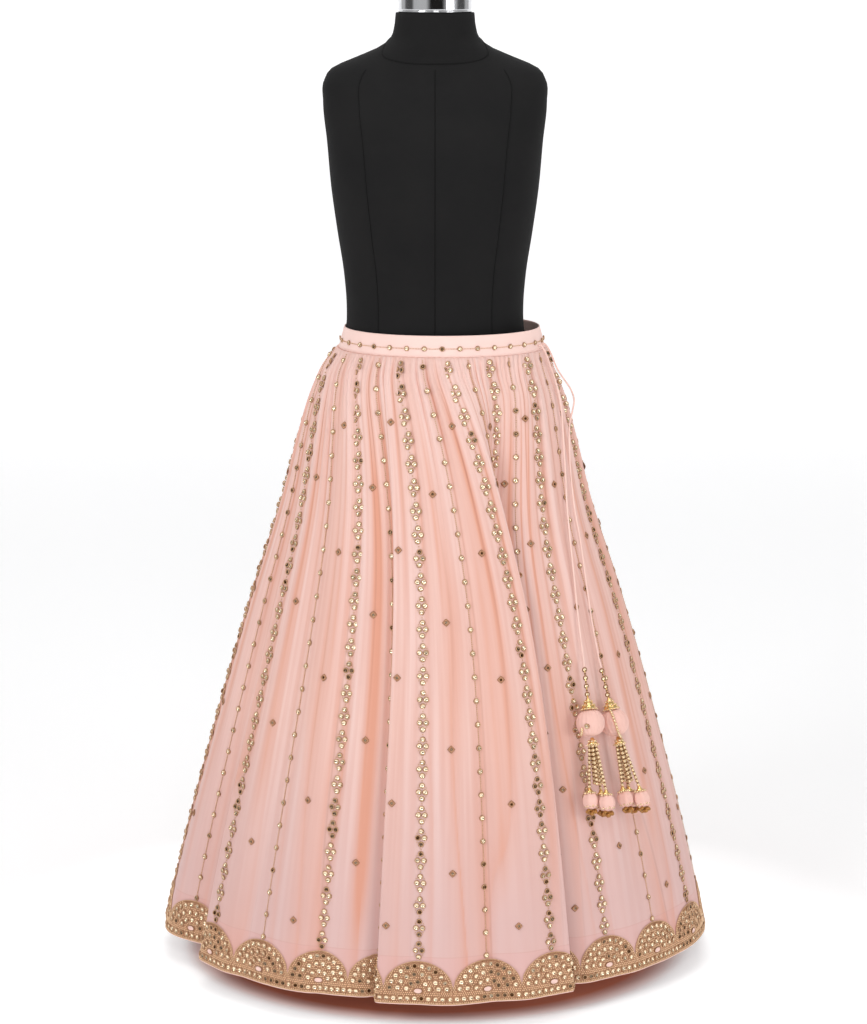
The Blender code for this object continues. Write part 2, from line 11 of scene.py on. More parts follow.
import bmesh
import bpy
import numpy as np
from mathutils import Matrix, Vector


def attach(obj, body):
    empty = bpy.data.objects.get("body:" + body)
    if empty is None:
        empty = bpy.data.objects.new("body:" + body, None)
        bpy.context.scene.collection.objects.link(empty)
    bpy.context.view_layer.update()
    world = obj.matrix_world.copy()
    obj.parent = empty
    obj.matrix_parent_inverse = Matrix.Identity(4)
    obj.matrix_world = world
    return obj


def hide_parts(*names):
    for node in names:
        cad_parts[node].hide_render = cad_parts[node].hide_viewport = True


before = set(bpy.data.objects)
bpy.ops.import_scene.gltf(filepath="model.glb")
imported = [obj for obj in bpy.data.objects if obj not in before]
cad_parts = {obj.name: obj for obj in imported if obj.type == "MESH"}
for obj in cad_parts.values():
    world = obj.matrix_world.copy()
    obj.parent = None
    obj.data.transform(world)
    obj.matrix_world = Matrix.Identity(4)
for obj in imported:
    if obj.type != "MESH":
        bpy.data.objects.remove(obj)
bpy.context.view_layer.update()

# Ten panels of three scallops each, one scallop every 110 mm round the hem.
PANELS = 10
ARCHES_PER_PANEL = 3
ARCHES = PANELS * ARCHES_PER_PANEL
PITCH = 0.110

# The arches that hang at the front of the waist and of the hem, how unevenly the cloth is
# gathered round the waist, and how soon below it the hem's own spacing takes over.
WAIST_FRONT_ARCH = 6.85
HEM_FRONT_ARCH = 5.245
WAIST_SPREAD = 0.145
SETTLING = 6

# Outline of the skirt, from the hem up.
Level = namedtuple("Level", "height left right depth power drape")
SKIRT_LEVELS = [
    Level(0.0450, 0.4550, 0.4550, 0.3560, 1.85, 0.0022),
    Level(0.1170, 0.4390, 0.4400, 0.3460, 1.85, 0.0024),
    Level(0.3800, 0.3690, 0.3740, 0.3060, 1.88, 0.0034),
    Level(0.6100, 0.3020, 0.3080, 0.2530, 1.92, 0.0040),
    Level(0.7800, 0.2480, 0.2520, 0.2020, 1.96, 0.0036),
    Level(0.8900, 0.2180, 0.2240, 0.1670, 2.00, 0.0022),
    Level(0.9560, 0.1960, 0.2040, 0.1460, 2.05, 0.0008),
    Level(0.9960, 0.1770, 0.1870, 0.1310, 2.08, 0.0000),
    Level(1.0217, 0.1575, 0.1780, 0.1195, 2.10, 0.0000),
]
HEM = SKIRT_LEVELS[0].height
TOP = SKIRT_LEVELS[-1].height

# Large folds: the arch at the fold's edge, arches hidden in it, step between its
# layers, share of the step at the waist, lean, side and recovery beyond it.
Fold = namedtuple("Fold", "edge length step top lean side recovery")
FOLDS = [
    Fold(0.62, 0.00, 0.046, 0.10, 90.0, -1, 1.3),
    Fold(4.34, 0.55, 0.018, 0.30, 50.0, -1, 1.2),
    Fold(7.36, 3.20, 0.020, 0.30, 62.0, 1, 2.6),
    Fold(15.60, 0.80, 0.018, 0.30, 40.0, 1, 1.2),
    Fold(18.40, 0.70, 0.020, 0.30, 50.0, -1, 1.1),
    Fold(21.00, 0.85, 0.018, 0.30, 35.0, 1, 1.3),
    Fold(24.30, 0.72, 0.020, 0.30, 55.0, -1, 1.2),
    Fold(27.20, 0.65, 0.018, 0.30, 45.0, 1, 1.1),
]

# Softness of a fold's turns in arches, share of its hidden cloth that still runs on round
# the hem, how it deepens on its way down, and the shares of the way at which its step and
# its lean are full.
TURN = 0.36
FOLD_RUN = 0.05
DEEPENING = 0.9
FOLD_START = 0.07
LEAN_START = 0.35

# How far from a fold, in arches, and how much it flattens the waves of the cloth.
CALM_REACH = 0.5
CALM_SHARE = 0.8

# Steps in each arch when the cloth that shows round the hem is added up.
WALK_STEPS = 60

# The cloth's own fine grid.
COLUMNS_PER_ARCH = 48
COLUMNS = ARCHES * COLUMNS_PER_ARCH
ROWS = 100

# Fine relief of the cloth, by height: tucks and gathers that start at the band, and
# the longer pleats that they run together into. Sizes are half heights in metres.
Relief = namedtuple("Relief", "height tucks gathers pleats folds")
RELIEF = [
    Relief(0.045, 0.0000, 0.0000, 0.0003, 0.0022),
    Relief(0.200, 0.0000, 0.0000, 0.0006, 0.0026),
    Relief(0.400, 0.0000, 0.0002, 0.0010, 0.0026),
    Relief(0.600, 0.0000, 0.0004, 0.0015, 0.0022),
    Relief(0.750, 0.0001, 0.0008, 0.0019, 0.0016),
    Relief(0.850, 0.0003, 0.0013, 0.0019, 0.0010),
    Relief(0.920, 0.0007, 0.0019, 0.0014, 0.0005),
    Relief(0.965, 0.0011, 0.0021, 0.0007, 0.0002),
    Relief(1.000, 0.0013, 0.0017, 0.0002, 0.0000),
    Relief(1.0217, 0.0007, 0.0005, 0.0000, 0.0000),
]
GATHERS_MOST = max(row.gathers for row in RELIEF)
PLEATS_MOST = max(row.pleats for row in RELIEF)

# Tucks, gathers, pleats and folds once round the skirt, and the waves that space them
# unevenly.
TUCKS_ROUND = 124
GATHERS_ROUND = 71
PLEATS_ROUND = 54
FOLDS_ROUND = 23
Wave = namedtuple("Wave", "count size phase")
TUCK_DRIFT = (Wave(11, 1.30, 1.3), Wave(19, 1.10, 0.4), Wave(37, 0.75, 5.0))
GATHER_DRIFT = (Wave(7, 1.50, 0.3), Wave(13, 1.20, 1.9), Wave(23, 0.80, 4.1), Wave(41, 0.45, 2.2))
PLEAT_DRIFT = (Wave(5, 1.50, 2.6), Wave(11, 1.20, 0.7), Wave(17, 0.80, 5.2), Wave(29, 0.45, 3.3))
FOLD_DRIFT = (Wave(3, 1.20, 0.9), Wave(7, 0.80, 3.7), Wave(11, 0.50, 1.4))

# How far the valley of a pleat lies in from the cloth's middle, as a share of its size.
VALLEY = 0.6

# Painted shade of long creases: the arch, half width in arches, start and end as shares of
# the way down, and how dark.
Crease = namedtuple("Crease", "arch width start end dark")
DEEP_CREASE_SHADES = [
    Crease(1.45, 0.14, 0.10, 0.80, 0.5),
    Crease(2.60, 0.10, 0.02, 0.60, 0.5),
    Crease(3.62, 0.16, 0.10, 0.98, 1.0),
    Crease(5.45, 0.09, 0.02, 0.45, 0.5),
    Crease(6.30, 0.09, 0.25, 0.90, 0.3),
    Crease(12.4, 0.14, 0.05, 0.90, 0.7),
    Crease(13.6, 0.10, 0.02, 0.60, 0.5),
    Crease(17.2, 0.14, 0.05, 0.95, 0.7),
    Crease(20.3, 0.12, 0.05, 0.70, 0.6),
    Crease(22.6, 0.15, 0.10, 0.95, 0.8),
    Crease(25.6, 0.12, 0.02, 0.65, 0.6),
    Crease(28.4, 0.14, 0.10, 0.90, 0.7),
]

# Scalloped border, measured up the cloth from the hem.
BORDER_VALLEY = 0.021
BORDER_APEX = 0.066
BORDER_LIFT = 0.0012
BORDER_WALL = 0.0009
BORDER_ROWS = 8
BORDER_COLUMNS_PER_ARCH = 24
EDGING_STEPS = 30

# One scallop's mirrors, in arcs and in a row along the hem, its plain oval, and the
# spacing of the seed beads between them.
MirrorArc = namedtuple("MirrorArc", "wide tall count")
MIRROR_ARCS = [
    MirrorArc(0.0455, 0.0400, 12),
    MirrorArc(0.0330, 0.0275, 8),
    MirrorArc(0.0195, 0.0150, 5),
]
ARCS_FOOT = 0.0190
HEM_MIRRORS = 10
HEM_MIRRORS_HEIGHT = 0.0082
OVAL_HEIGHT = 0.0200
OVAL_SIZE = (0.0078, 0.0046)
SEED_PITCH = 0.0033
SEED_START = 0.0022
SEED_SCATTER = 0.0004

# Mirror work up the cloth: a mirror and its ring, diamonds of four on every other arch
# with a sprig at each corner, single mirrors on a chain between them, and rounds
# scattered between the lines. A line starts above the border's tips and ends below the
# top of the cloth.
MIRROR_RADIUS = 0.0030
MIRROR_RING = 0.0048
MIRROR_SIDES = 10
MIRROR_LIFT = 0.0004
Line = namedtuple("Line", "above below pitch")
DIAMOND_LINE = Line(0.0170, 0.0180, 0.0352)
SINGLE_LINE = Line(0.0060, 0.0130, 0.0360)
CHAIN_LINE = Line(0.0020, 0.0040, 0.0028)
DIAMOND_MIRRORS = ((0.0, 0.0102), (0.0, -0.0102), (0.0050, 0.0), (-0.0050, 0.0))
DIAMOND_SPRIGS = ((0.0062, 0.0070), (-0.0062, 0.0070), (0.0062, -0.0070), (-0.0062, -0.0070))
CHAIN_LIFT = 0.0006
SCATTER_ROWS = 9
SCATTER_START = 0.115
SCATTER_PITCH = 0.095

# Painted reflections: what a mirror is painted to show of the room, from a wave over the skirt: dark, dim or
# bright patches.
Patch = namedtuple("Patch", "above darkest brightest")
REFLECTION_PATCHES = [Patch(1.35, 0.0, 0.15), Patch(0.95, 0.35, 0.6), Patch(-math.inf, 0.82, 1.0)]

# Waistband.
Ring = namedtuple("Ring", "height left right depth power")
BAND_TOP = Ring(1.0560, 0.1456, 0.1680, 0.1165, 2.10)
BAND_FOOT = Ring(1.0220, 0.1550, 0.1770, 0.1185, 2.10)
BAND_WALL = 0.0022
BAND_COLUMNS = 240

# The folded strip of the band, up its face, over its top and down its back: share of the
# band's height, and how far in from its face.
Turn = namedtuple("Turn", "up inward")
BAND_SECTION = [
    Turn(0.0, BAND_WALL),
    Turn(0.0, 0.0008),
    Turn(0.02, 0.0001),
    Turn(0.10, 0.0),
    Turn(0.30, 0.0002),
    Turn(0.50, 0.0),
    Turn(0.72, 0.0001),
    Turn(0.93, 0.0),
    Turn(0.985, 0.0004),
    Turn(1.0, 0.0011),
    Turn(0.985, 0.0018),
    Turn(0.90, BAND_WALL),
    Turn(0.50, BAND_WALL),
    Turn(0.10, BAND_WALL),
    Turn(0.0, BAND_WALL),
]

# The line of mirrors on a bead chain round the band, as a share of its height, and the
# row of stitches above its foot.
BAND_LINE = 0.40
BAND_MIRRORS = 32
BAND_BEADS = 360
BAND_STITCHES = 300
STITCHES_UP = 0.0030

# Drawstring, as its solids lie: its two tails, and how far above its tassel each tail's
# last points are.
CORD_DIAMETER = 0.003
CORD_STEPS = 6
TAIL_ROUTES = {
    "a": [
        (0.1639, -0.0458, 1.0300), (0.1690, -0.0486, 1.0296), (0.1756, -0.0512, 1.0190),
        (0.1822, -0.0517, 1.0011), (0.1892, -0.0540, 0.9812), (0.1960, -0.0618, 0.9569),
        (0.2012, -0.0704, 0.9259), (0.2038, -0.0831, 0.8831), (0.2066, -0.0978, 0.8374),
        (0.2091, -0.1119, 0.7835), (0.2139, -0.1313, 0.7312), (0.2201, -0.1506, 0.6707),
        (0.2271, -0.1713, 0.6030),
    ],
    "b": [
        (0.1705, -0.0299, 1.0300), (0.1757, -0.0315, 1.0297), (0.1835, -0.0335, 1.0180),
        (0.1955, -0.0330, 0.9900), (0.2085, -0.0265, 0.9700), (0.2183, -0.0225, 0.9545),
        (0.2232, -0.0260, 0.9385), (0.2200, -0.0390, 0.9235), (0.2147, -0.0588, 0.9054),
        (0.2134, -0.0753, 0.8822), (0.2151, -0.0900, 0.8362), (0.2207, -0.1030, 0.7822),
        (0.2306, -0.1161, 0.7276), (0.2396, -0.1322, 0.6657), (0.2501, -0.1486, 0.5961),
    ],
}
CORD_ENDS = (0.016, 0.008, 0.0009)

# Tassels: where each hangs, the way it points and the way its strands fall.
Hang = namedtuple("Hang", "top way strands")
TASSEL_HANGS = {
    "a": Hang((0.2351, -0.1901, 0.5410), (0.100, -0.373, -0.922), (0.13, -0.16, -0.98)),
    "b": Hang((0.2634, -0.1652, 0.5320), (0.230, -0.309, -0.922), (0.24, -0.10, -0.97)),
}

# Four ringed beads, the cone cap and the ball, measured down from a tassel's top.
BEADS = 4
BEAD_PITCH = 0.0130
BEAD_RADIUS = 0.0042
BEAD_GLASS = 0.0025
CONE_TOP = 0.0480
CONE_FOOT = 0.0660
CONE_RADIUS = 0.0120
BALL_RADIUS = 0.0228
BALL_RIBS = 18
BALL_FOOT = -CONE_FOOT - 2.0 * BALL_RADIUS + 0.0008

# Rings of small beads on the caps: distance from the axis, height and count.
Fringe = namedtuple("Fringe", "away height count")
CAP_FRINGES = [
    Fringe(0.0064, -CONE_TOP - 0.0066, 10),
    Fringe(0.0100, -CONE_FOOT + 0.0058, 14),
    Fringe(CONE_RADIUS + 0.0008, -CONE_FOOT - 0.0008, 18),
    Fringe(0.0090, BALL_FOOT - 0.0120, 14),
]

# Strands of beads: three with a cloth bud at their end, by turn and share of the full
# length, and three plain ones, by place under the ball.
ROOT_HEIGHT = 0.0080
STRAND_LENGTH = 0.074
STRAND_BEAD = 0.0029
STRAND_PITCH = 0.0062
BudStrand = namedtuple("BudStrand", "turn share")
BUD_STRANDS = [BudStrand(240.0, 1.0), BudStrand(0.0, 0.96), BudStrand(120.0, 1.03)]
PlainStrand = namedtuple("PlainStrand", "across along share")
PLAIN_STRANDS = [
    PlainStrand(0.0036, 0.0066, 0.92),
    PlainStrand(0.0036, -0.0066, 0.88),
    PlainStrand(-0.0070, 0.0, 0.90),
]
BUD_SPREAD = 0.0162
BUD_WIDTH = 0.0265
BUD_HEIGHT = 0.0300
BUD_CAP = [
    (0.0, 0.0010), (0.0028, 0.0), (0.0036, -0.0030), (0.0078, -0.0065), (0.0070, -0.0070), (0.0, -0.0066),
]
CLUSTER_BEADS = 16
CLUSTER_RADIUS = 0.0078

# Torso of the form, from its underside to the neck.
Section = namedtuple("Section", "height width depth forward power")
TORSO_SECTIONS = [
    Section(0.8000, 0.1500, 0.1040, 0.000, 2.15),
    Section(0.8080, 0.1620, 0.1140, 0.000, 2.15),
    Section(0.8400, 0.1700, 0.1200, 0.000, 2.15),
    Section(0.8900, 0.1720, 0.1220, 0.000, 2.15),
    Section(0.9400, 0.1680, 0.1200, 0.000, 2.15),
    Section(0.9900, 0.1560, 0.1150, 0.000, 2.12),
    Section(1.0300, 0.1465, 0.1105, 0.000, 2.10),
    Section(1.0600, 0.1420, 0.1090, 0.000, 2.10),
    Section(1.0900, 0.1415, 0.1080, 0.000, 2.10),
    Section(1.1400, 0.1450, 0.1090, 0.002, 2.10),
    Section(1.2100, 0.1550, 0.1180, 0.008, 2.15),
    Section(1.2800, 0.1640, 0.1250, 0.012, 2.20),
    Section(1.3500, 0.1700, 0.1130, 0.008, 2.30),
    Section(1.4100, 0.1760, 0.0950, 0.000, 2.40),
    Section(1.4450, 0.1740, 0.0800, -0.004, 2.40),
    Section(1.4640, 0.1600, 0.0720, -0.006, 2.30),
    Section(1.4800, 0.1230, 0.0670, -0.006, 2.20),
    Section(1.4950, 0.0880, 0.0670, -0.004, 2.10),
    Section(1.5080, 0.0705, 0.0650, -0.002, 2.00),
    Section(1.5240, 0.0645, 0.0625, 0.000, 2.00),
    Section(1.5480, 0.0615, 0.0615, 0.000, 2.00),
]
TORSO_ROWS = 96
TORSO_COLUMNS = 112

# Upright seams of the torso, in degrees round it, the row that they start from, and the
# height that they end under.
SEAM_TURNS = (270.0, 232.0, 308.0, 90.0, 128.0, 52.0)
SEAM_START = 4
SEAM_TOP = 1.463
SEAM_PROUD = 0.0002

# Chrome cap on the neck, pole and round base.
NECK = 1.5483
CAP_RADIUS = 0.0575
BASE_RADIUS = 0.190
BASE_HEIGHT = 0.014
POLE_RADIUS = 0.015

# The photograph's view, on a lens of this many millimetres, looking down by the tilt.
LENS = 88.4
CAMERA_PLACE = (-0.0024, -4.0, 1.65)
CAMERA_TILT = 12.7

# Studio: the white sweep of floor and wall, and the oval of warm painted shadow on the floor under the hem.
SWEEP_SIDE = 9.0
SWEEP_BEND = 1.5
WALL_FOOT = 6.0
SHADE_SIZE = (0.455, 0.356)
STUDIO_WHITE = (0.93, 0.93, 0.935)
SHADE_COLOUR = (0.62, 0.175, 0.09)
Light = namedtuple("Light", "name place target size power")
LIGHTS = [
    Light("key", (-2.8, -3.0, 3.0), (0.0, 0.0, 0.7), 1.5, 57.0),
    Light("fill", (2.9, -2.6, 1.4), (0.0, 0.0, 0.7), 1.6, 31.5),
    Light("front", (0.3, -4.2, 3.3), (0.0, 0.0, 0.7), 1.2, 36.0),
    Light("top", (0.0, 0.3, 3.6), (0.0, 0.0, 0.0), 2.6, 41.0),
]

DICE = random.Random(7)


def smooth(value):
    """Rise smoothly from 0 at 0 to 1 at 1."""
    value = np.clip(value, 0.0, 1.0)
    return value * value * (3.0 - 2.0 * value)


def signed_power(value, power):
    """A power that keeps the sign of its base."""
    return np.sign(value) * np.abs(value) ** power


def eased(table, field, height):
    """A smooth curve through one column of a table, read at a height."""
    heights = np.array([row.height for row in table])
    values = np.array([getattr(row, field) for row in table])
    slopes = np.gradient(values, heights)
    index = int(np.clip(np.searchsorted(heights, height) - 1, 0, len(heights) - 2))
    span = heights[index + 1] - heights[index]
    share = (height - heights[index]) / span
    return (
        (1.0 + 2.0 * share) * (1.0 - share) ** 2 * values[index]
        + share * (1.0 - share) ** 2 * span * slopes[index]
        + share ** 2 * (3.0 - 2.0 * share) * values[index + 1]
        + share ** 2 * (share - 1.0) * span * slopes[index + 1]
    )


class Oval:
    """An oval outline that is walked by its share of the way round, from the front."""

    def __init__(self, left, right, depth, power, steps=1440):
        angle = 2.0 * math.pi * np.arange(steps + 1) / steps - math.pi / 2.0
        self.x = (right - left) / 2.0 + (right + left) / 2.0 * signed_power(np.cos(angle), 2.0 / power)
        self.y = depth * signed_power(np.sin(angle), 2.0 / power)
        walked = np.concatenate(([0.0], np.cumsum(np.hypot(np.diff(self.x), np.diff(self.y)))))
        self.walked = walked / walked[-1]

    def at(self, share):
        """Points and outward directions at these shares of the way round."""
        share = np.mod(share, 1.0)

        def point(place):
            place = np.mod(place, 1.0)
            return np.stack([np.interp(place, self.walked, axis) for axis in (self.x, self.y)], -1)

        along = point(share + 0.002) - point(share - 0.002)
        along /= np.linalg.norm(along, axis=-1, keepdims=True)
        return point(share), np.stack((along[..., 1], -along[..., 0]), -1)


def past_edge(fold, arch):
    """How far the cloth at each arch lies past the fold's edge, towards its tip."""
    half = ARCHES / 2.0
    return fold.side * (np.mod(arch - fold.edge + half, ARCHES) - half)


def hidden_share(arch):
    """How much of the cloth at each arch lies inside a fold."""
    total = np.zeros_like(arch)
    for fold in FOLDS:
        if fold.length > 0.0:
            past = past_edge(fold, arch)
            total += smooth(past / TURN + 0.5) - smooth((past - fold.length) / TURN + 0.5)
    return total


def ridge(past, length):
    """A rounded tent that rises from 0 at the fold's edge to 1 at its tip, and falls."""
    total = 0.0
    samples = 7
    for sample in range(samples):
        place = past + TURN * 0.7 * ((sample + 0.5) / samples - 0.5)
        total = total + np.clip(1.0 - np.abs(2.0 * place / length - 1.0), 0.0, None)
    return total / samples


def fold_shift(fold, past, down):
    """How far a fold moves the cloth inward and sideways, at a share of the way down."""
    lean = math.radians(fold.lean)
    tent = np.zeros_like(past)
    if fold.length > 0.0:
        lean *= float(smooth(down / LEAN_START))
        half = 0.5 * fold.length * PITCH * (1.0 - FOLD_RUN) * down ** DEEPENING
        tent = half * ridge(past, fold.length)
    step = fold.step * smooth(down / FOLD_START) * (fold.top + (1.0 - fold.top) * down)
    step = step * smooth((past - 0.5 * fold.length) / TURN + 0.5)
    step = step * (1.0 - smooth((past - fold.length) / fold.recovery))
    inward = tent * math.cos(lean) + step * math.sin(lean)
    sideways = fold.side * (step * math.cos(lean) - tent * math.sin(lean))
    return inward, sideways


def calm(arch):
    """How much the nearest fold flattens the waves of the cloth."""
    nearest = np.zeros_like(arch)
    for fold in FOLDS:
        aside = np.abs(past_edge(fold, arch) - 0.5 * fold.length) - 0.5 * fold.length
        nearest = np.maximum(nearest, 1.0 - smooth((aside - TURN) / CALM_REACH))
    return CALM_SHARE * nearest


def hem_walk():
    """Arches walked round the hem at fine steps of the cloth."""
    arch = (np.arange(ARCHES * WALK_STEPS) + 0.5) / WALK_STEPS
    steps = (1.0 - (1.0 - FOLD_RUN) * hidden_share(arch)) / WALK_STEPS
    return np.concatenate(([0.0], np.cumsum(steps)))


HEM_WALK = hem_walk()


def walked_at_hem(arch):
    """Arches walked round the hem from arch 0 to each of these."""
    turns = np.floor(arch / ARCHES)
    places = np.arange(len(HEM_WALK)) / WALK_STEPS
    return np.interp(arch - turns * ARCHES, places, HEM_WALK) + turns * HEM_WALK[-1]


def share_round(arch, down):
    """Where each arch hangs, as a share of the way round, at a share of the way down."""
    turn = (arch - WAIST_FRONT_ARCH) / ARCHES
    at_waist = turn + WAIST_SPREAD * np.sin(2.0 * math.pi * turn) / (2.0 * math.pi)
    front = walked_at_hem(np.array([HEM_FRONT_ARCH]))[0]
    at_hem = (walked_at_hem(arch) - front) / HEM_WALK[-1]
    settled = 1.0 - (1.0 - down) ** SETTLING
    return at_waist * (1.0 - settled) + at_hem * settled


def drift(arch, waves):
    """An uneven phase that closes round the skirt."""
    turn = 2.0 * math.pi * arch / ARCHES
    return sum(wave.size * np.sin(wave.count * turn + wave.phase) for wave in waves)


def rounded_pleat(phase, power):
    """A pleat with a broad back and a narrow valley, one high in all."""
    return ((1.0 + np.cos(phase)) / 2.0) ** power - VALLEY


def strength(arch, turns, height, phase):
    """How strong a set of pleats is at each arch, from 0.15 to 1."""
    wave = np.sin(2.0 * math.pi * turns * arch / ARCHES + 2.4 * height + phase)
    wave = wave + 0.6 * np.sin(2.0 * math.pi * (2 * turns + 1) * arch / ARCHES - 5.0 * height + 2.0 * phase)
    return np.clip(0.58 + 0.34 * wave, 0.15, 1.0)


def doubled_cloth_and_shade(phase):
    """Doubled cloth beside a pleat, with painted shade: dark at its valley on one side, fading across it."""
    share = np.mod(phase / (2.0 * math.pi) - 0.5, 1.0)
    return share ** 2.6 * (1.0 - smooth((share - 0.97) / 0.03))


def valley_line_shade(phase, width):
    """Painted shade: the narrow dark line along the bottom of a pleat's valley."""
    share = np.abs(np.mod(phase / (2.0 * math.pi), 1.0) - 0.5)
    return np.exp(-(share / width) ** 2)


def deep_crease_shade(arch, down):
    """Painted shade of long creases that start under the waist and widen towards the hem."""
    total = np.zeros_like(arch)
    for crease_shade in DEEP_CREASE_SHADES:
        aside = np.abs(arch - crease_shade.arch) / (crease_shade.width * (0.25 + 0.75 * down))
        reach = smooth((down - crease_shade.start) / 0.15) * (1.0 - smooth((down - crease_shade.end + 0.2) / 0.2))
        total = total + crease_shade.dark * np.exp(-aside ** 2) * reach
    return total


def relief_at(height, arch, flat):
    """Fine relief of the cloth, with the painted shade of its creases and of narrow dark lines in its
    valleys.
    """
    down = (TOP - height) / (TOP - HEM)
    tucks, gathers, pleats, folds = [
        eased(RELIEF, field, height) for field in ("tucks", "gathers", "pleats", "folds")
    ]
    turn = 2.0 * math.pi * arch / ARCHES
    lean = 0.5 * math.sin(4.0 * down)
    tuck = rounded_pleat(TUCKS_ROUND * turn + drift(arch, TUCK_DRIFT), 0.8)
    gather_phase = GATHERS_ROUND * turn + drift(arch, GATHER_DRIFT)
    gather = rounded_pleat(gather_phase, 0.55)
    pleat_phase = PLEATS_ROUND * turn + drift(arch + lean, PLEAT_DRIFT)
    pleat = rounded_pleat(pleat_phase, 0.45)
    fold_phase = FOLDS_ROUND * turn + drift(arch - lean, FOLD_DRIFT)
    fold = rounded_pleat(fold_phase, 0.7)
    strong = strength(arch, 9, down, 0.4)
    stronger = strength(arch, 13, down, 2.9)
    drape = -np.cos(2.0 * math.pi * arch + 0.9 * np.sin(2.0 * math.pi * 8.0 * arch / ARCHES))
    broad = 0.75 + 0.25 * np.sin(5.0 * turn)
    relief = 2.0 * (tucks * tuck + gathers * stronger * gather + pleats * strong * pleat + folds * fold)
    relief = relief + 0.6 * eased(SKIRT_LEVELS, "drape", height) * broad * drape
    # Painted shade: darker in the valleys of gathers and pleats, beside pleats where the cloth also lies
    # doubled, and along long creases.
    crease_shade = 0.7 * np.clip(-gather, 0.0, VALLEY) / VALLEY * stronger * gathers / GATHERS_MOST
    crease_shade = crease_shade + 0.8 * np.clip(-pleat, 0.0, VALLEY) / VALLEY * strong * pleats / PLEATS_MOST
    crease_shade = crease_shade + 0.5 * doubled_cloth_and_shade(pleat_phase) * stronger * smooth(down / 0.15)
    crease_shade = crease_shade + 0.5 * doubled_cloth_and_shade(fold_phase) * strong * smooth(down / 0.25)
    crease_shade = crease_shade + deep_crease_shade(arch, down)
    # Painted shade: a narrow dark line along the bottom of each valley.
    line = 0.9 * valley_line_shade(gather_phase, 0.05) * stronger * gathers / GATHERS_MOST
    line = line + 0.8 * valley_line_shade(pleat_phase, 0.03) * strong * smooth(down / 0.1) * (1.0 - down) ** 1.2
    line = line + 0.5 * valley_line_shade(fold_phase, 0.012) * strong * smooth(down / 0.2)
    return relief * flat, np.clip(crease_shade, 0.0, 1.0), np.clip(line, 0.0, 1.0)


def cloth_grid():
    """Points of the whole skirt, rows from the hem up, with the painted shade of their creases and valley
    lines.
    """
    arch = np.arange(COLUMNS) / COLUMNS_PER_ARCH - 0.5
    heights = np.linspace(HEM, TOP, ROWS + 1)
    flatness = calm(arch)
    points = np.zeros((ROWS + 1, COLUMNS, 3))
    creases = np.zeros((ROWS + 1, COLUMNS))
    lines = np.zeros((ROWS + 1, COLUMNS))
    for row, height in enumerate(heights):
        down = (TOP - height) / (TOP - HEM)
        sizes = [eased(SKIRT_LEVELS, field, height) for field in ("left", "right", "depth", "power")]
        place, outward = Oval(*sizes).at(share_round(arch, down))
        onward = np.stack((-outward[:, 1], outward[:, 0]), -1)
        flat = 1.0 - flatness * float(smooth(down / FOLD_START))
        relief, creases[row], lines[row] = relief_at(height, arch, flat)
        place = place + outward * relief[:, None]
        for fold in FOLDS:
            inward, sideways = fold_shift(fold, past_edge(fold, arch), down)
            place = place - outward * inward[:, None] + onward * sideways[:, None]
        points[row, :, :2] = place
        points[row, :, 2] = height
    return points, creases, lines


def surface_normals(points):
    """Outward directions of a grid that closes round."""
    across = np.roll(points, -1, axis=1) - np.roll(points, 1, axis=1)
    up = np.gradient(points, axis=0)
    normal = np.cross(across, up)
    return normal / np.linalg.norm(normal, axis=-1, keepdims=True)


# The cloth's points, with the painted shade of its creases and valley lines.
CLOTH, CREASE_SHADES, VALLEY_LINE_SHADES = cloth_grid()
NORMALS = surface_normals(CLOTH)


def sample(grid, arch, height):
    """Read a grid of the cloth at arches and heights."""
    row = np.clip((height - HEM) / (TOP - HEM) * ROWS, 0.0, ROWS - 0.0001)
    column = np.mod((arch + 0.5) * COLUMNS_PER_ARCH, COLUMNS)
    low_row = row.astype(int)
    low_column = column.astype(int) % COLUMNS
    after = (low_column + 1) % COLUMNS
    up = (row - low_row)[:, None]
    on = (column - np.floor(column))[:, None]
    near = grid[low_row, low_column] * (1.0 - on) + grid[low_row, after] * on
    far = grid[low_row + 1, low_column] * (1.0 - on) + grid[low_row + 1, after] * on
    return near * (1.0 - up) + far * up


def seats(arch, height, lift):
    """Places on the cloth: x along it, y up it and z out of it, one 4 by 4 each."""
    arch, height = np.broadcast_arrays(np.asarray(arch, float), np.asarray(height, float))
    point = sample(CLOTH, arch, height)
    normal = sample(NORMALS, arch, height)
    normal /= np.linalg.norm(normal, axis=-1, keepdims=True)
    up = np.cross(normal, np.cross(np.array([0.0, 0.0, 1.0]), normal))
    up /= np.linalg.norm(up, axis=-1, keepdims=True)
    result = np.zeros((len(arch), 4, 4))
    result[:, :3, 0] = np.cross(up, normal)
    result[:, :3, 1] = up
    result[:, :3, 2] = normal
    result[:, :3, 3] = point + normal * lift
    result[:, 3, 3] = 1.0
    return result


def moved(places, x, y):
    """The same places, moved along and up the cloth's own directions."""
    result = places.copy()
    result[:, :3, 3] += places[:, :3, 0] * x + places[:, :3, 1] * y
    return result


def tilted(places, degrees):
    """The same places, each tipped a little, as hand-sewn mirrors are."""
    result = places.copy()
    for index in range(len(places)):
        tip = Matrix.Rotation(math.radians(DICE.gauss(0.0, degrees)), 4, "X")
        tip = tip @ Matrix.Rotation(math.radians(DICE.gauss(0.0, degrees)), 4, "Y")
        result[index] = result[index] @ np.array(tip)
    return result


# Pieces.

def put_in(piece, node=None):
    """Put a piece in the scene on the model's one body, in the place of a CAD node if it has one."""
    bpy.context.scene.collection.objects.link(piece)
    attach(piece, "root")
    if node:
        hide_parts(node)
    return piece


def finish_piece(name, mesh, materials, node=None):
    """Make a piece of a finished mesh and its materials."""
    for material in materials:
        mesh.materials.append(material)
    return put_in(bpy.data.objects.new(name, mesh), node)


def mesh_of(shape, name):
    """A smooth mesh from a bmesh, which is freed."""
    mesh = bpy.data.meshes.new(name)
    shape.to_mesh(mesh)
    shape.free()
    mesh.shade_smooth()
    return mesh


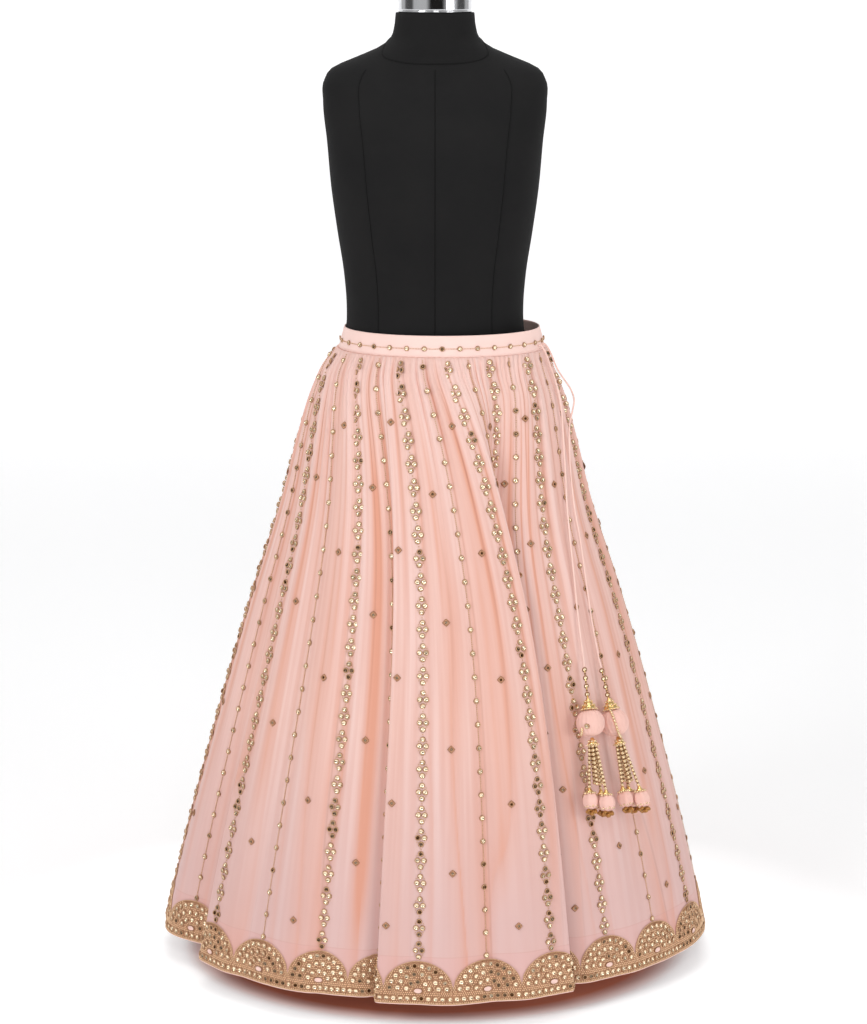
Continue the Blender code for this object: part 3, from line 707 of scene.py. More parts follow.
def grid_mesh(name, points, across, up, closed=False):
    """A sheet from a grid of points, with a UV map in metres of cloth."""
    rows, columns = points.shape[:2]
    shape = bmesh.new()
    bmesh.ops.create_grid(shape, x_segments=columns - 1, y_segments=rows - 1, size=0.5)
    mesh = mesh_of(shape, name)
    mesh.vertices.foreach_set("co", points.reshape(-1).astype(np.float32))
    corners = np.zeros(len(mesh.loops), int)
    mesh.loops.foreach_get("vertex_index", corners)
    layer = mesh.uv_layers.new(name="cloth")
    places = np.stack((across.reshape(-1), up.reshape(-1)), -1)[corners]
    layer.data.foreach_set("uv", places.reshape(-1).astype(np.float32))
    if closed:
        shape = bmesh.new()
        shape.from_mesh(mesh)
        bmesh.ops.remove_doubles(shape, verts=shape.verts[:], dist=0.00001)
        shape.to_mesh(mesh)
        shape.free()
        mesh.shade_smooth()
    mesh.update()
    return mesh


def turned(shape, profile, sides):
    """Turn a profile of radius and height, from the top down, about the upright axis."""
    verts = [shape.verts.new((radius, 0.0, height)) for radius, height in profile]
    edges = [shape.edges.new(pair) for pair in zip(verts, verts[1:])]
    bmesh.ops.spin(
        shape, geom=verts + edges, cent=(0.0, 0.0, 0.0), axis=(0.0, 0.0, 1.0), dvec=(0.0, 0.0, 0.0),
        angle=2.0 * math.pi, steps=sides, use_merge=True, use_duplicate=False,
    )
    bmesh.ops.remove_doubles(shape, verts=shape.verts[:], dist=0.000001)
    bmesh.ops.recalc_face_normals(shape, faces=shape.faces[:])


def turned_mesh(name, profile, sides, place=None):
    """A turned mesh, set in its place."""
    shape = bmesh.new()
    turned(shape, profile, sides)
    if place is not None:
        bmesh.ops.transform(shape, matrix=place, verts=shape.verts[:])
    return mesh_of(shape, name)


def stamped(name, template, places, tones=None):
    """One mesh with a copy of the template at each place, and a tone for each copy, which sets a mirror's
    painted reflection.
    """
    count = len(template.vertices)
    shape = np.zeros(count * 3)
    template.vertices.foreach_get("co", shape)
    shape = np.concatenate((shape.reshape(-1, 3), np.ones((count, 1))), 1)
    verts = np.einsum("nij,vj->nvi", np.asarray(places), shape)[..., :3].reshape(-1, 3)
    faces = [tuple(face.vertices) for face in template.polygons]
    slots = [face.material_index for face in template.polygons]
    all_faces = [
        tuple(corner + copy * count for corner in face) for copy in range(len(places)) for face in faces
    ]
    mesh = bpy.data.meshes.new(name)
    mesh.from_pydata(verts.tolist(), [], all_faces)
    mesh.polygons.foreach_set("material_index", slots * len(places))
    mesh.shade_smooth()
    if tones is not None:
        layer = mesh.attributes.new("tone", "FLOAT", "POINT")
        layer.data.foreach_set("value", np.repeat(np.asarray(tones, np.float32), count))
    mesh.update()
    return mesh


def sewn(name, template, places, materials, tones=None):
    """A piece of many copies of one small shape."""
    return finish_piece(name, stamped(name, template, places, tones), materials)


def mirror_template(radius, ring, sides, petals=0):
    """A round mirror in a raised thread ring, with painted shade on the ring's edges; the ring can have
    petals.
    """
    shape = bmesh.new()
    outside = ring - 0.0005
    turned(shape, [
        (0.0, 0.0009), (radius, 0.0009), (radius + 0.0003, 0.0014), (0.5 * (radius + ring), 0.0019),
        (outside, 0.0011), (ring, 0.0),
    ], sides)
    # Slots: the glass, the ring, and the glass's rim and the ring's edges in painted shade.
    for face in shape.faces:
        centre = face.calc_center_median()
        away = math.hypot(centre.x, centre.y)
        if away < radius * 0.8:
            face.material_index = 0
        elif radius + 0.0002 < away < outside * math.cos(math.pi / sides):
            face.material_index = 1
        else:
            face.material_index = 2
    if petals:
        for vert in shape.verts:
            if math.hypot(vert.co.x, vert.co.y) > ring * 0.6:
                wave = 1.0 + 0.16 * math.cos(petals * math.atan2(vert.co.y, vert.co.x))
                vert.co.x *= wave
                vert.co.y *= wave
    return mesh_of(shape, "mirror_template")


def bead_template(radius, segments=8, rings=6):
    """A round bead."""
    shape = bmesh.new()
    bmesh.ops.create_uvsphere(shape, u_segments=segments, v_segments=rings, radius=radius)
    return mesh_of(shape, "bead_template")


def painted_reflection_tones(places):
    """Painted reflections: each mirror painted bright or dark as if it caught that part of the room, several
    neighbours together.
    """
    tones = []
    for x, y, z in places[:, :3, 3]:
        turn = math.atan2(y, x)
        wave = math.sin(19.0 * turn + 9.0 * z) + math.sin(31.0 * z - 13.0 * turn + 1.7)
        wave += math.sin(47.0 * turn + 57.0 * z) + DICE.gauss(0.0, 0.6)
        patch = next(patch for patch in REFLECTION_PATCHES if wave > patch.above)
        tones.append(DICE.uniform(patch.darkest, patch.brightest))
    return tones


# Materials.

def new_material(name, colour, roughness, metallic=0.0, sheen=0.0):
    """A Principled material, with its tree and shader."""
    material = bpy.data.materials.new(name)
    material.use_nodes = True
    tree = material.node_tree
    shader = tree.nodes["Principled BSDF"]
    shader.inputs["Base Color"].default_value = (*colour, 1.0)
    shader.inputs["Roughness"].default_value = roughness
    shader.inputs["Metallic"].default_value = metallic
    shader.inputs["Sheen Weight"].default_value = sheen
    shader.inputs["Sheen Roughness"].default_value = 0.4
    shader.inputs["Specular IOR Level"].default_value = 0.5 if roughness < 0.7 else 0.25
    return material, tree, shader


def coordinates(tree, source, scale):
    """A piece's own UV or Object coordinates, scaled."""
    texture = tree.nodes.new("ShaderNodeTexCoord")
    mapping = tree.nodes.new("ShaderNodeMapping")
    mapping.inputs["Scale"].default_value = scale
    tree.links.new(texture.outputs[source], mapping.inputs["Vector"])
    return mapping.outputs["Vector"]


def noise_texture(tree, vector, scale, detail):
    """Soft noise between 0 and 1."""
    node = tree.nodes.new("ShaderNodeTexNoise")
    node.inputs["Scale"].default_value = scale
    node.inputs["Detail"].default_value = detail
    tree.links.new(vector, node.inputs["Vector"])
    return node.outputs["Fac"]


def mixed(tree, factor, first, second):
    """A colour between two, each a colour or a socket."""
    node = tree.nodes.new("ShaderNodeMix")
    node.data_type = "RGBA"
    tree.links.new(factor, node.inputs[0])
    for socket, value in ((node.inputs[6], first), (node.inputs[7], second)):
        if isinstance(value, tuple):
            socket.default_value = (*value, 1.0)
        else:
            tree.links.new(value, socket)
    return node.outputs[2]


def ramped(tree, value, low, high, start=0.0, end=1.0):
    """Map a value's range to another, held at its ends."""
    node = tree.nodes.new("ShaderNodeMapRange")
    node.inputs["From Min"].default_value = low
    node.inputs["From Max"].default_value = high
    node.inputs["To Min"].default_value = start
    node.inputs["To Max"].default_value = end
    tree.links.new(value, node.inputs["Value"])
    return node.outputs["Result"]


def bump(tree, shader, height, strength, distance):
    """Raise the surface by a pattern."""
    node = tree.nodes.new("ShaderNodeBump")
    node.inputs["Strength"].default_value = strength
    node.inputs["Distance"].default_value = distance
    tree.links.new(height, node.inputs["Height"])
    tree.links.new(node.outputs["Normal"], shader.inputs["Normal"])


def attribute(tree, name):
    """A value that a piece carries at its points."""
    node = tree.nodes.new("ShaderNodeAttribute")
    node.attribute_name = name
    return node.outputs["Fac"]


def combined(tree, operation, *values):
    """One to three values, worked together."""
    node = tree.nodes.new("ShaderNodeMath")
    node.operation = operation
    for value, socket in zip(values, node.inputs):
        tree.links.new(value, socket)
    return node.outputs[0]


def one_axis(tree, vector, axis):
    """One number of a vector."""
    node = tree.nodes.new("ShaderNodeSeparateXYZ")
    tree.links.new(vector, node.inputs["Vector"])
    return node.outputs[axis]


# Tones of the cloth by height above the hem: paler towards the waist, cooler towards the
# hem, and deeper where the hem's facing lies behind it, with a line along its edge.
FACING_EDGE = 0.0724
Tone = namedtuple("Tone", "start end most colour")
CLOTH_TONES = [
    Tone(0.62, 0.95, 0.40, (0.830, 0.600, 0.545)),
    Tone(0.42, 0.12, 0.75, (0.650, 0.438, 0.420)),
    Tone(FACING_EDGE + 0.0008, FACING_EDGE, 0.35, (0.70, 0.40, 0.38)),
]


def georgette_material():
    """Sheer crinkled cloth over its lining, with warm painted shade in its creases and in dark lines along
    their valleys.
    """
    material, tree, shader = new_material("blush_georgette", (0.76, 0.52, 0.47), 0.80, sheen=0.15)
    height = one_axis(tree, coordinates(tree, "UV", (1.0, 1.0, 1.0)), "Y")
    streaks = noise_texture(tree, coordinates(tree, "UV", (75.0, 2.0, 1.0)), 1.0, 4.0)
    bands = noise_texture(tree, coordinates(tree, "UV", (11.0, 0.7, 1.0)), 1.0, 2.0)
    colour = mixed(tree, ramped(tree, streaks, 0.38, 0.62), (0.735, 0.455, 0.395), (0.800, 0.555, 0.505))
    colour = mixed(tree, ramped(tree, bands, 0.47, 0.57, 0.0, 0.40), colour, (0.72, 0.385, 0.300))
    for tone in CLOTH_TONES:
        share = ramped(tree, height, tone.start, tone.end, 0.0, tone.most)
        colour = mixed(tree, share, colour, tone.colour)
    # Painted shade: warm dark colour in the creases, deeper too where the cloth lies doubled.
    crease_shade = ramped(tree, attribute(tree, "crease_shade"), 0.05, 1.0, 0.0, 0.80)
    colour = mixed(tree, crease_shade, colour, (0.680, 0.290, 0.185))
    # Painted shade: a dark line along the bottom of each valley.
    line = ramped(tree, attribute(tree, "line"), 0.05, 0.9, 0.0, 0.70)
    colour = mixed(tree, line, colour, (0.46, 0.19, 0.13))
    below = ramped(tree, height, FACING_EDGE + 0.0014, FACING_EDGE + 0.0010)
    above = ramped(tree, height, FACING_EDGE - 0.0006, FACING_EDGE)
    facing_edge = ramped(tree, combined(tree, "MULTIPLY", below, above), 0.0, 1.0, 0.0, 0.45)
    colour = mixed(tree, facing_edge, colour, (0.62, 0.34, 0.30))
    tree.links.new(colour, shader.inputs["Base Color"])
    crepe = noise_texture(tree, coordinates(tree, "UV", (900.0, 700.0, 1.0)), 1.0, 2.0)
    bump(tree, shader, crepe, 0.25, 0.0004)
    return material


def thread_material(name, dark, light, metallic):
    """Dense metallic thread: short stitches side by side."""
    material, tree, shader = new_material(name, light, 0.42, metallic)
    vector = coordinates(tree, "Object", (1.0, 1.0, 1.0))
    strands = noise_texture(tree, vector, 900.0, 3.0)
    tree.links.new(mixed(tree, ramped(tree, strands, 0.35, 0.65), dark, light), shader.inputs["Base Color"])
    bump(tree, shader, strands, 0.6, 0.0006)
    return material


def mirror_material():
    """Small glass mirrors, each with a painted reflection, from dark to bright by its tone."""
    material, tree, shader = new_material("mirror_round", (0.9, 0.8, 0.65), 0.16, 1.0)
    colour = mixed(tree, attribute(tree, "tone"), (0.085, 0.036, 0.014), (0.99, 0.83, 0.60))
    tree.links.new(colour, shader.inputs["Base Color"])
    return material


def cloth_material(name, dark, light, scale, strength, roughness=0.85, sheen=0.1):
    """Plain woven cloth on Object coordinates."""
    material, tree, shader = new_material(name, light, roughness, sheen=sheen)
    vector = coordinates(tree, "Object", (1.0, 1.0, 1.0))
    soft = noise_texture(tree, vector, 14.0, 2.0)
    tree.links.new(mixed(tree, soft, dark, light), shader.inputs["Base Color"])
    bump(tree, shader, noise_texture(tree, vector, scale, 2.0), strength, 0.0005)
    return material


def metal_material(name, colour, roughness, metallic, wear):
    """Plain metal with fine wear in its roughness."""
    material, tree, shader = new_material(name, colour, roughness, metallic)
    brushed = noise_texture(tree, coordinates(tree, "Object", (1.0, 1.0, 0.2)), 120.0, 4.0)
    worn = ramped(tree, brushed, 0.3, 0.7, max(roughness - wear, 0.02), roughness + wear)
    tree.links.new(worn, shader.inputs["Roughness"])
    return material


GEORGETTE = georgette_material()
GOLD_GROUND = thread_material("gold_ground", (0.27, 0.110, 0.050), (0.58, 0.310, 0.170), 0.10)
GOLD_RING = thread_material("gold_ring", (0.44, 0.225, 0.105), (0.80, 0.530, 0.315), 0.10)
# A dark copy of the ring's thread: painted shade at the edges of the rings, and the whole ring of the
# tassels' glass beads.
DARK_GOLD_AND_EDGE_SHADE = thread_material("dark_gold_and_edge_shade", (0.16, 0.058, 0.018), (0.38, 0.170, 0.062), 0.10)
MIRROR = mirror_material()
GOLD_METAL = metal_material("gold_metal", (0.83, 0.58, 0.24), 0.26, 1.0, 0.10)
CHAMPAGNE = metal_material("champagne_bead", (0.84, 0.63, 0.39), 0.22, 0.60, 0.08)
BROWN_BEAD = metal_material("brown_bead", (0.23, 0.105, 0.030), 0.25, 0.40, 0.08)
GOLD_SEED = metal_material("gold_seed", (0.90, 0.63, 0.40), 0.38, 0.15, 0.10)
AMBER = metal_material("amber_bead", (0.42, 0.195, 0.050), 0.20, 0.45, 0.06)
BUD_CLOTH = cloth_material("bud_cloth", (0.78, 0.44, 0.37), (0.90, 0.60, 0.53), 1400.0, 0.3)
CORD_CLOTH = cloth_material("cord_cloth", (0.84, 0.56, 0.49), (0.93, 0.68, 0.61), 1800.0, 0.4)
BAND_CLOTH = cloth_material("band_cloth", (0.86, 0.60, 0.54), (0.92, 0.68, 0.62), 1300.0, 0.3)
FORM_CLOTH = cloth_material(
    "form_cloth", (0.0045, 0.0045, 0.005), (0.009, 0.0085, 0.0085), 1500.0, 0.5, 0.9, 0.0
)
SEAM_CLOTH = cloth_material("form_seam", (0.002, 0.002, 0.002), (0.004, 0.004, 0.004), 1500.0, 0.5, 0.9, 0.0)
BLACK_METAL = metal_material("black_metal", (0.015, 0.015, 0.016), 0.42, 0.0, 0.08)
CHROME = metal_material("chrome", (0.78, 0.79, 0.81), 0.10, 1.0, 0.05)
RINGED_MIRROR = [MIRROR, GOLD_RING, DARK_GOLD_AND_EDGE_SHADE]


# Drawstring and tassels.

def curve_through(points, steps):
    """Points on one smooth curve through the route's own points."""
    route = [Vector(point) for point in points]
    route = [route[0] * 2.0 - route[1]] + route + [route[-1] * 2.0 - route[-2]]
    result = []
    for before, start, end, after in zip(route, route[1:], route[2:], route[3:]):
        for step in range(steps):
            share = step / steps
            result.append(0.5 * (
                2.0 * start
                + (end - before) * share
                + (2.0 * before - 5.0 * start + 4.0 * end - after) * share ** 2
                + (3.0 * start - before - 3.0 * end + after) * share ** 3
            ))
    result.append(route[-2])
    return result


def tube(name, points, radius, material, node=None, cyclic=False, sides=2):
    """A cord or edging as a curve through points."""
    curve = bpy.data.curves.new(name, "CURVE")
    curve.dimensions = "3D"
    curve.bevel_depth = radius
    curve.bevel_resolution = sides
    curve.use_fill_caps = True
    spline = curve.splines.new("POLY")
    spline.points.add(len(points) - 1)
    for knot, point in zip(spline.points, points):
        knot.co = (*point, 1.0)
    spline.use_cyclic_u = cyclic
    spline.use_smooth = True
    curve.materials.append(material)
    return put_in(bpy.data.objects.new(name, curve), node)


def facing(spot, way):
    """The place of a piece at a spot, its own upright turned to a way."""
    return Matrix.Translation(spot) @ way.to_track_quat("Z", "Y").to_matrix().to_4x4()


def within(place, spot):
    """The place of a small shape at a spot of a piece's own space."""
    return np.array(place @ Matrix.Translation(spot))


def bead_ring(place, away, height, count, start=0.0):
    """Places of beads in a ring about a piece's own axis."""
    angles = [2.0 * math.pi * (index + start) / count for index in range(count)]
    return [
        within(place, Vector((away * math.cos(angle), away * math.sin(angle), height)))
        for angle in angles
    ]


def ribbed_ball(name, radius, ribs, depth, place, stretch=1.0):
    """A cloth ball gathered into ribs at both ends."""
    shape = bmesh.new()
    bmesh.ops.create_uvsphere(shape, u_segments=ribs * 4, v_segments=20, radius=radius)
    for vert in shape.verts:
        around = math.atan2(vert.co.y, vert.co.x)
        level = vert.co.z / radius
        swell = 1.0 - depth * (0.35 + 0.65 * abs(level)) * abs(math.sin(around * ribs / 2.0)) ** 3
        pinch = 1.0 - 0.10 * abs(level) ** 6
        vert.co = Vector((vert.co.x * swell, vert.co.y * swell, vert.co.z * stretch * pinch))
    bmesh.ops.transform(shape, matrix=place, verts=shape.verts[:])
    return mesh_of(shape, name)


def joined(name, parts):
    """One mesh from several, each given with the first of its material slots."""
    shape = bmesh.new()
    for part, first in parts:
        start = len(shape.faces)
        shape.from_mesh(part)
        shape.faces.ensure_lookup_table()
        for face in shape.faces[start:]:
            face.material_index += first
    return mesh_of(shape, name)


def make_cord(letter, top, way):
    """One tail of the drawstring, on to the first bead of its tassel."""
    points = curve_through(TAIL_ROUTES[letter] + [top - way * run for run in CORD_ENDS], CORD_STEPS)
    return tube(
        f"drawstring_{letter}", points, CORD_DIAMETER / 2.0, CORD_CLOTH,
        f"drawstring_tail_{letter}",
    )


def make_bead_row(letter, place):
    """Four ringed mirror beads on the cord, glass at the front and back."""
    out = Vector((0.15, -0.95, 0.10)).normalized()
    spots = [place @ Vector((0.0, 0.0, -BEAD_RADIUS - bead * BEAD_PITCH)) for bead in range(BEADS)]
    front = [np.array(facing(spot, out)) for spot in spots]
    back = [disc @ np.diag((-1.0, 1.0, -1.0, 1.0)) for disc in front]
    disc = mirror_template(BEAD_GLASS, BEAD_RADIUS, 16)
    # The glass of the beads is painted with a bright reflection.
    discs = stamped("bead_discs", disc, front + back, [0.95] * 2 * BEADS)
    rod = [(0.0, 0.0), (0.0011, -0.0002), (0.0011, -CONE_TOP), (0.0, -CONE_TOP)]
    link = turned_mesh("bead_link", rod, 8, place)
    drops = [-BEAD_RADIUS - (bead + 0.5) * BEAD_PITCH for bead in range(BEADS - 1)]
    between = [within(place, (0.0, 0.0, drop)) for drop in drops]
    knots = stamped("bead_knots", bead_template(0.0017), between)
    name = f"tassel_{letter}_bead_row"
    mesh = joined(name, [(discs, 0), (link, 3), (knots, 4)])
    materials = [MIRROR, DARK_GOLD_AND_EDGE_SHADE, DARK_GOLD_AND_EDGE_SHADE, GOLD_METAL, BROWN_BEAD]
    return finish_piece(name, mesh, materials, f"tassel_{letter}_beads")


def make_caps(letter, place):
    """Stepped cone cap that sits on the ball, a small cap below, and their rings of beads."""
    cone = turned_mesh("cone", [
        (0.0, -CONE_TOP + 0.0010), (0.0018, -CONE_TOP), (0.0026, -CONE_TOP - 0.0030),
        (0.0058, -CONE_TOP - 0.0050), (0.0062, -CONE_TOP - 0.0080), (0.0096, -CONE_FOOT + 0.0050),
        (CONE_RADIUS, -CONE_FOOT + 0.0006), (CONE_RADIUS + 0.0004, -CONE_FOOT - 0.0012),
        (CONE_RADIUS - 0.0010, -CONE_FOOT - 0.0013), (0.0, -CONE_FOOT + 0.0002),
    ], 24, place)
    cup = turned_mesh("cup", [
        (0.0, BALL_FOOT - 0.0003), (0.0024, BALL_FOOT - 0.0005), (0.0034, BALL_FOOT - 0.0036),
        (0.0066, BALL_FOOT - 0.0082), (0.0092, BALL_FOOT - 0.0120), (0.0080, BALL_FOOT - 0.0124),
        (0.0, BALL_FOOT - 0.0110),
    ], 20, place)
    beads = []
    for ring, fringe in enumerate(CAP_FRINGES):
        beads += bead_ring(place, *fringe, start=0.5 * ring)
    fringes = stamped("fringes", bead_template(0.0015, 7, 5), beads)
    name = f"tassel_{letter}_caps"
    mesh = joined(name, [(cone, 0), (cup, 0), (fringes, 1)])
    finish_piece(name, mesh, [GOLD_METAL, CHAMPAGNE])


def ball_string(letter):
    """Ways from a ball's middle to its string of beads: half a string on ball a."""
    steps = 12
    ways = []
    for step in range(steps + 1):
        share = step / steps
        turn = math.radians(-68.0 + 136.0 * share)
        side = -0.30 + 0.75 * share if letter == "b" else -0.55 - 0.25 * share
        ways.append(Vector((side, -0.95 * math.cos(turn), -math.sin(turn))).normalized())
    return ways if letter == "b" else ways[7:]


def make_ball(letter, place):
    """The cloth-covered ball, with its ringed mirror and its string of beads."""
    middle = place @ Matrix.Translation((0.0, 0.0, -CONE_FOOT - BALL_RADIUS + 0.0004))
    name = f"tassel_{letter}_ball_cloth"
    ball = ribbed_ball(name, BALL_RADIUS, BALL_RIBS, 0.10, middle)
    finish_piece(name, ball, [BUD_CLOTH], f"tassel_{letter}_ball")
    centre = middle.to_translation()
    if letter == "a":
        out = Vector((-0.30, -0.93, 0.05)).normalized()
        seat = np.array(facing(centre + out * (BALL_RADIUS - 0.0008), out))
        disc = mirror_template(0.0026, 0.0046, 14)
        # Its glass is painted with a dim reflection.
        sewn("tassel_a_ball_mirror", disc, [seat], RINGED_MIRROR, [0.6])
    string = [
        np.array(Matrix.Translation(centre + away * (BALL_RADIUS + 0.0016)))
        for away in ball_string(letter)
    ]
    sewn(f"tassel_{letter}_ball_string", bead_template(0.0025), string, [CHAMPAGNE])


def strand_places(place, start, end):
    """Bead places on one straight strand, and the places of the small beads between."""
    way = end - start
    halves = 2 * int(way.length / STRAND_PITCH)
    spots = [within(place, start + way * (step + 1.0) / halves) for step in range(halves - 1)]
    return spots[::2], spots[1::2]


def bud_cluster(hang):
    """Places of the beads in the cluster under a bud."""
    places = []
    for index in range(CLUSTER_BEADS):
        angle = 2.4 * index
        away = CLUSTER_RADIUS * math.sqrt((index + 0.5) / CLUSTER_BEADS)
        drop = -0.0038 - BUD_HEIGHT - 0.0019 * (index % 4)
        places.append(within(hang, Vector((away * math.cos(angle), away * math.sin(angle), drop))))
    return places


def bud_cloth(hang):
    """The cloth bud under its cap."""
    middle = hang @ Matrix.Translation((0.0, 0.0, -0.0045 - BUD_HEIGHT * 0.5))
    return ribbed_ball("bud", BUD_WIDTH * 0.5, 6, 0.30, middle, BUD_HEIGHT / BUD_WIDTH)


def bud_rings(hang):
    """Places of the beads round a bud's cap and round its foot."""
    return bead_ring(hang, 0.0084, -0.0072, 14) + bead_ring(hang, 0.0096, -0.0020 - BUD_HEIGHT * 0.86, 12)


def strand_runs(slope):
    """Start and end of each strand under the ball, the three with a bud first."""
    root = Vector((0.0, 0.0, -0.0040))
    foot = -ROOT_HEIGHT - STRAND_LENGTH
    runs = []
    for strand in BUD_STRANDS:
        turn = math.radians(strand.turn)
        spread = Vector((math.cos(turn), math.sin(turn), 0.0))
        drop = STRAND_LENGTH * strand.share
        end = spread * BUD_SPREAD * 0.92 + Vector((slope.x * drop, slope.y * drop, foot * strand.share))
        runs.append((root + spread * 0.005, end))
    for strand in PLAIN_STRANDS:
        drop = STRAND_LENGTH * strand.share
        start = root + Vector((strand.across * 0.6, strand.along * 0.6, 0.0))
        end = Vector((strand.across + slope.x * drop, strand.along + slope.y * drop, -ROOT_HEIGHT - drop))
        runs.append((start, end))
    return runs


def make_strands(letter, place, slope):
    """Bead strands from the root, three of them with a cap, a cloth bud and a cluster."""
    runs = strand_runs(slope)
    rows = [strand_places(place, start, end) for start, end in runs]
    beads = [spot for row, _ in rows for spot in row]
    spacers = [spot for _, row in rows for spot in row]
    hangs = [place @ Matrix.Translation(end) for _, end in runs[:len(BUD_STRANDS)]]
    rings = [spot for hang in hangs for spot in bud_rings(hang)]
    clusters = [spot for hang in hangs for spot in bud_cluster(hang)]
    parts = [
        (stamped("strand_beads", bead_template(STRAND_BEAD), beads), 0),
        (stamped("strand_spacers", bead_template(0.0021, 7, 5), spacers), 1),
        *[(turned_mesh("bud_cap", BUD_CAP, 14, hang), 2) for hang in hangs],
        *[(bud_cloth(hang), 3) for hang in hangs],
        (stamped("bud_rings", bead_template(0.0017, 6, 5), rings), 0),
        (stamped("bud_clusters", bead_template(0.0029), clusters), 4),
    ]
    name = f"tassel_{letter}_bead_strands"
    materials = [CHAMPAGNE, BROWN_BEAD, GOLD_METAL, BUD_CLOTH, AMBER]
    finish_piece(name, joined(name, parts), materials, f"tassel_{letter}_strands")


def make_tassel(letter):
    """One tail with its tassel: bead row, caps, ball and strands."""
    hang = TASSEL_HANGS[letter]
    top = Vector(hang.top)
    way = Vector(hang.way).normalized()
    cord = make_cord(letter, top, way)
    place = facing(top, -way)
    row = make_bead_row(letter, place)
    make_caps(letter, place)
    make_ball(letter, place)
    fall = (-way).to_track_quat("Z", "Y").inverted() @ Vector(hang.strands)
    slope = Vector((fall.x, fall.y)) / -fall.z
    make_strands(letter, place @ Matrix.Translation((0.0, 0.0, BALL_FOOT)), slope)


# Skirt.

def make_panels():
    """Ten flared panels, each a fine sheet of the cloth with the painted shade of its creases."""
    width = ARCHES_PER_PANEL * COLUMNS_PER_ARCH
    heights = np.append(np.linspace(0.0, TOP - HEM, ROWS + 1), TOP - HEM + 0.004)
    # Painted shade of the creases and valley lines, full on the top row that tucks under the band.
    looks = {
        "crease_shade": np.concatenate((CREASE_SHADES, np.ones((1, COLUMNS)))),
        "line": np.concatenate((VALLEY_LINE_SHADES, np.ones((1, COLUMNS)))),
    }
    for number in range(PANELS):
        columns = np.arange(number * width, (number + 1) * width + 1)
        here = columns % COLUMNS
        tucked = CLOTH[-1, here] * (0.975, 0.970, 1.0) + (0.0, 0.0, 0.0006)
        points = np.concatenate((CLOTH[:, here], tucked[None]))
        across = np.tile(columns / COLUMNS_PER_ARCH * PITCH, (ROWS + 2, 1))
        up = np.tile(heights[:, None], (1, width + 1))
        name = f"panel_{number + 1:02d}"
        mesh = grid_mesh(name, points, across, up)
        for look, values in looks.items():
            layer = mesh.attributes.new(look, "FLOAT", "POINT")
            layer.data.foreach_set("value", values[:, here].reshape(-1).astype(np.float32))
        panel = finish_piece(name, mesh, [GEORGETTE], f"kali_{number + 1:02d}")


def border_height(arch):
    """Height of the scalloped border above the hem at each arch."""
    aside = 2.0 * (arch - np.round(arch))
    return BORDER_VALLEY + (BORDER_APEX - BORDER_VALLEY) * np.sqrt(np.clip(1.0 - aside * aside, 0.0, 1.0))


def edging(name, arch, up, lift, radius, material, drop=0.0):
    """A line of thread or piping that runs round the skirt at heights above the hem."""
    line = seats(arch, HEM + up, lift)[:, :3, 3]
    line[:, 2] -= drop
    tube(name, line.tolist(), radius, material, cyclic=True, sides=1)


def make_border():
    """The gold ground of the border, with its edging and the hem's piping."""
    columns = ARCHES * BORDER_COLUMNS_PER_ARCH
    arch = np.arange(columns + 1) / BORDER_COLUMNS_PER_ARCH - 0.5
    high = border_height(arch)
    points = np.zeros((BORDER_ROWS + 1, columns + 1, 3))
    up = np.zeros((BORDER_ROWS + 1, columns + 1))
    for row in range(BORDER_ROWS + 1):
        up[row] = high * row / BORDER_ROWS
        points[row] = seats(arch, HEM + up[row], BORDER_LIFT)[:, :3, 3]
    across = np.tile(arch * PITCH, (BORDER_ROWS + 1, 1))
    mesh = grid_mesh("border_ground", points, across, up, True)
    border = finish_piece("border_ground", mesh, [GOLD_GROUND], "hem_border")
    wall = border.modifiers.new("thickness", "SOLIDIFY")
    wall.thickness = BORDER_WALL
    fine = np.arange(ARCHES * EDGING_STEPS) / EDGING_STEPS - 0.5
    edging("border_edging", fine, border_height(fine), 0.0014, 0.0007, GOLD_RING)
    edging("hem_edging", fine, 0.0006, 0.0016, 0.0010, GOLD_RING)
    edging("hem_piping", fine, 0.0, 0.0002, 0.0013, CORD_CLOTH, 0.0008)


def border_spots():
    """Middles of one scallop's mirrors: arcs inside it, and a row along the hem."""
    spots = []
    for arc in MIRROR_ARCS:
        for index in range(arc.count):
            angle = math.pi * (index + 0.5) / arc.count
            spots.append((arc.wide * math.cos(angle), ARCS_FOOT + arc.tall * math.sin(angle)))
    for index in range(HEM_MIRRORS):
        spots.append((PITCH * ((index + 0.5) / HEM_MIRRORS - 0.5), HEM_MIRRORS_HEIGHT))
    return spots


def border_seeds(spots):
    """Middles of the small beads that fill one scallop between its mirrors."""
    seeds = []
    for row in range(int(BORDER_APEX / SEED_PITCH)):
        up = SEED_START + row * SEED_PITCH * 0.9
        for column in range(int(PITCH / SEED_PITCH)):
            across = -0.5 * PITCH + (column + 0.5 * (row % 2) + 0.25) * SEED_PITCH
            across += DICE.uniform(-SEED_SCATTER, SEED_SCATTER)
            inside = up < float(border_height(np.array(across / PITCH))) - 0.0009
            clear = all(math.hypot(across - x, up - y) > MIRROR_RING + 0.0006 for x, y in spots)
            in_oval = math.hypot(across / OVAL_SIZE[0], (up - OVAL_HEIGHT) / OVAL_SIZE[1]) <= 1.1
            if inside and clear and not in_oval:
                seeds.append((across, up))
    return seeds


def border_places(spots, lift):
    """The same spots on every scallop, as places on the cloth."""
    arch = np.array([number + x / PITCH for number in range(ARCHES) for x, _ in spots])
    height = np.array([HEM + y for _ in range(ARCHES) for _, y in spots])
    return seats(arch, height, lift)


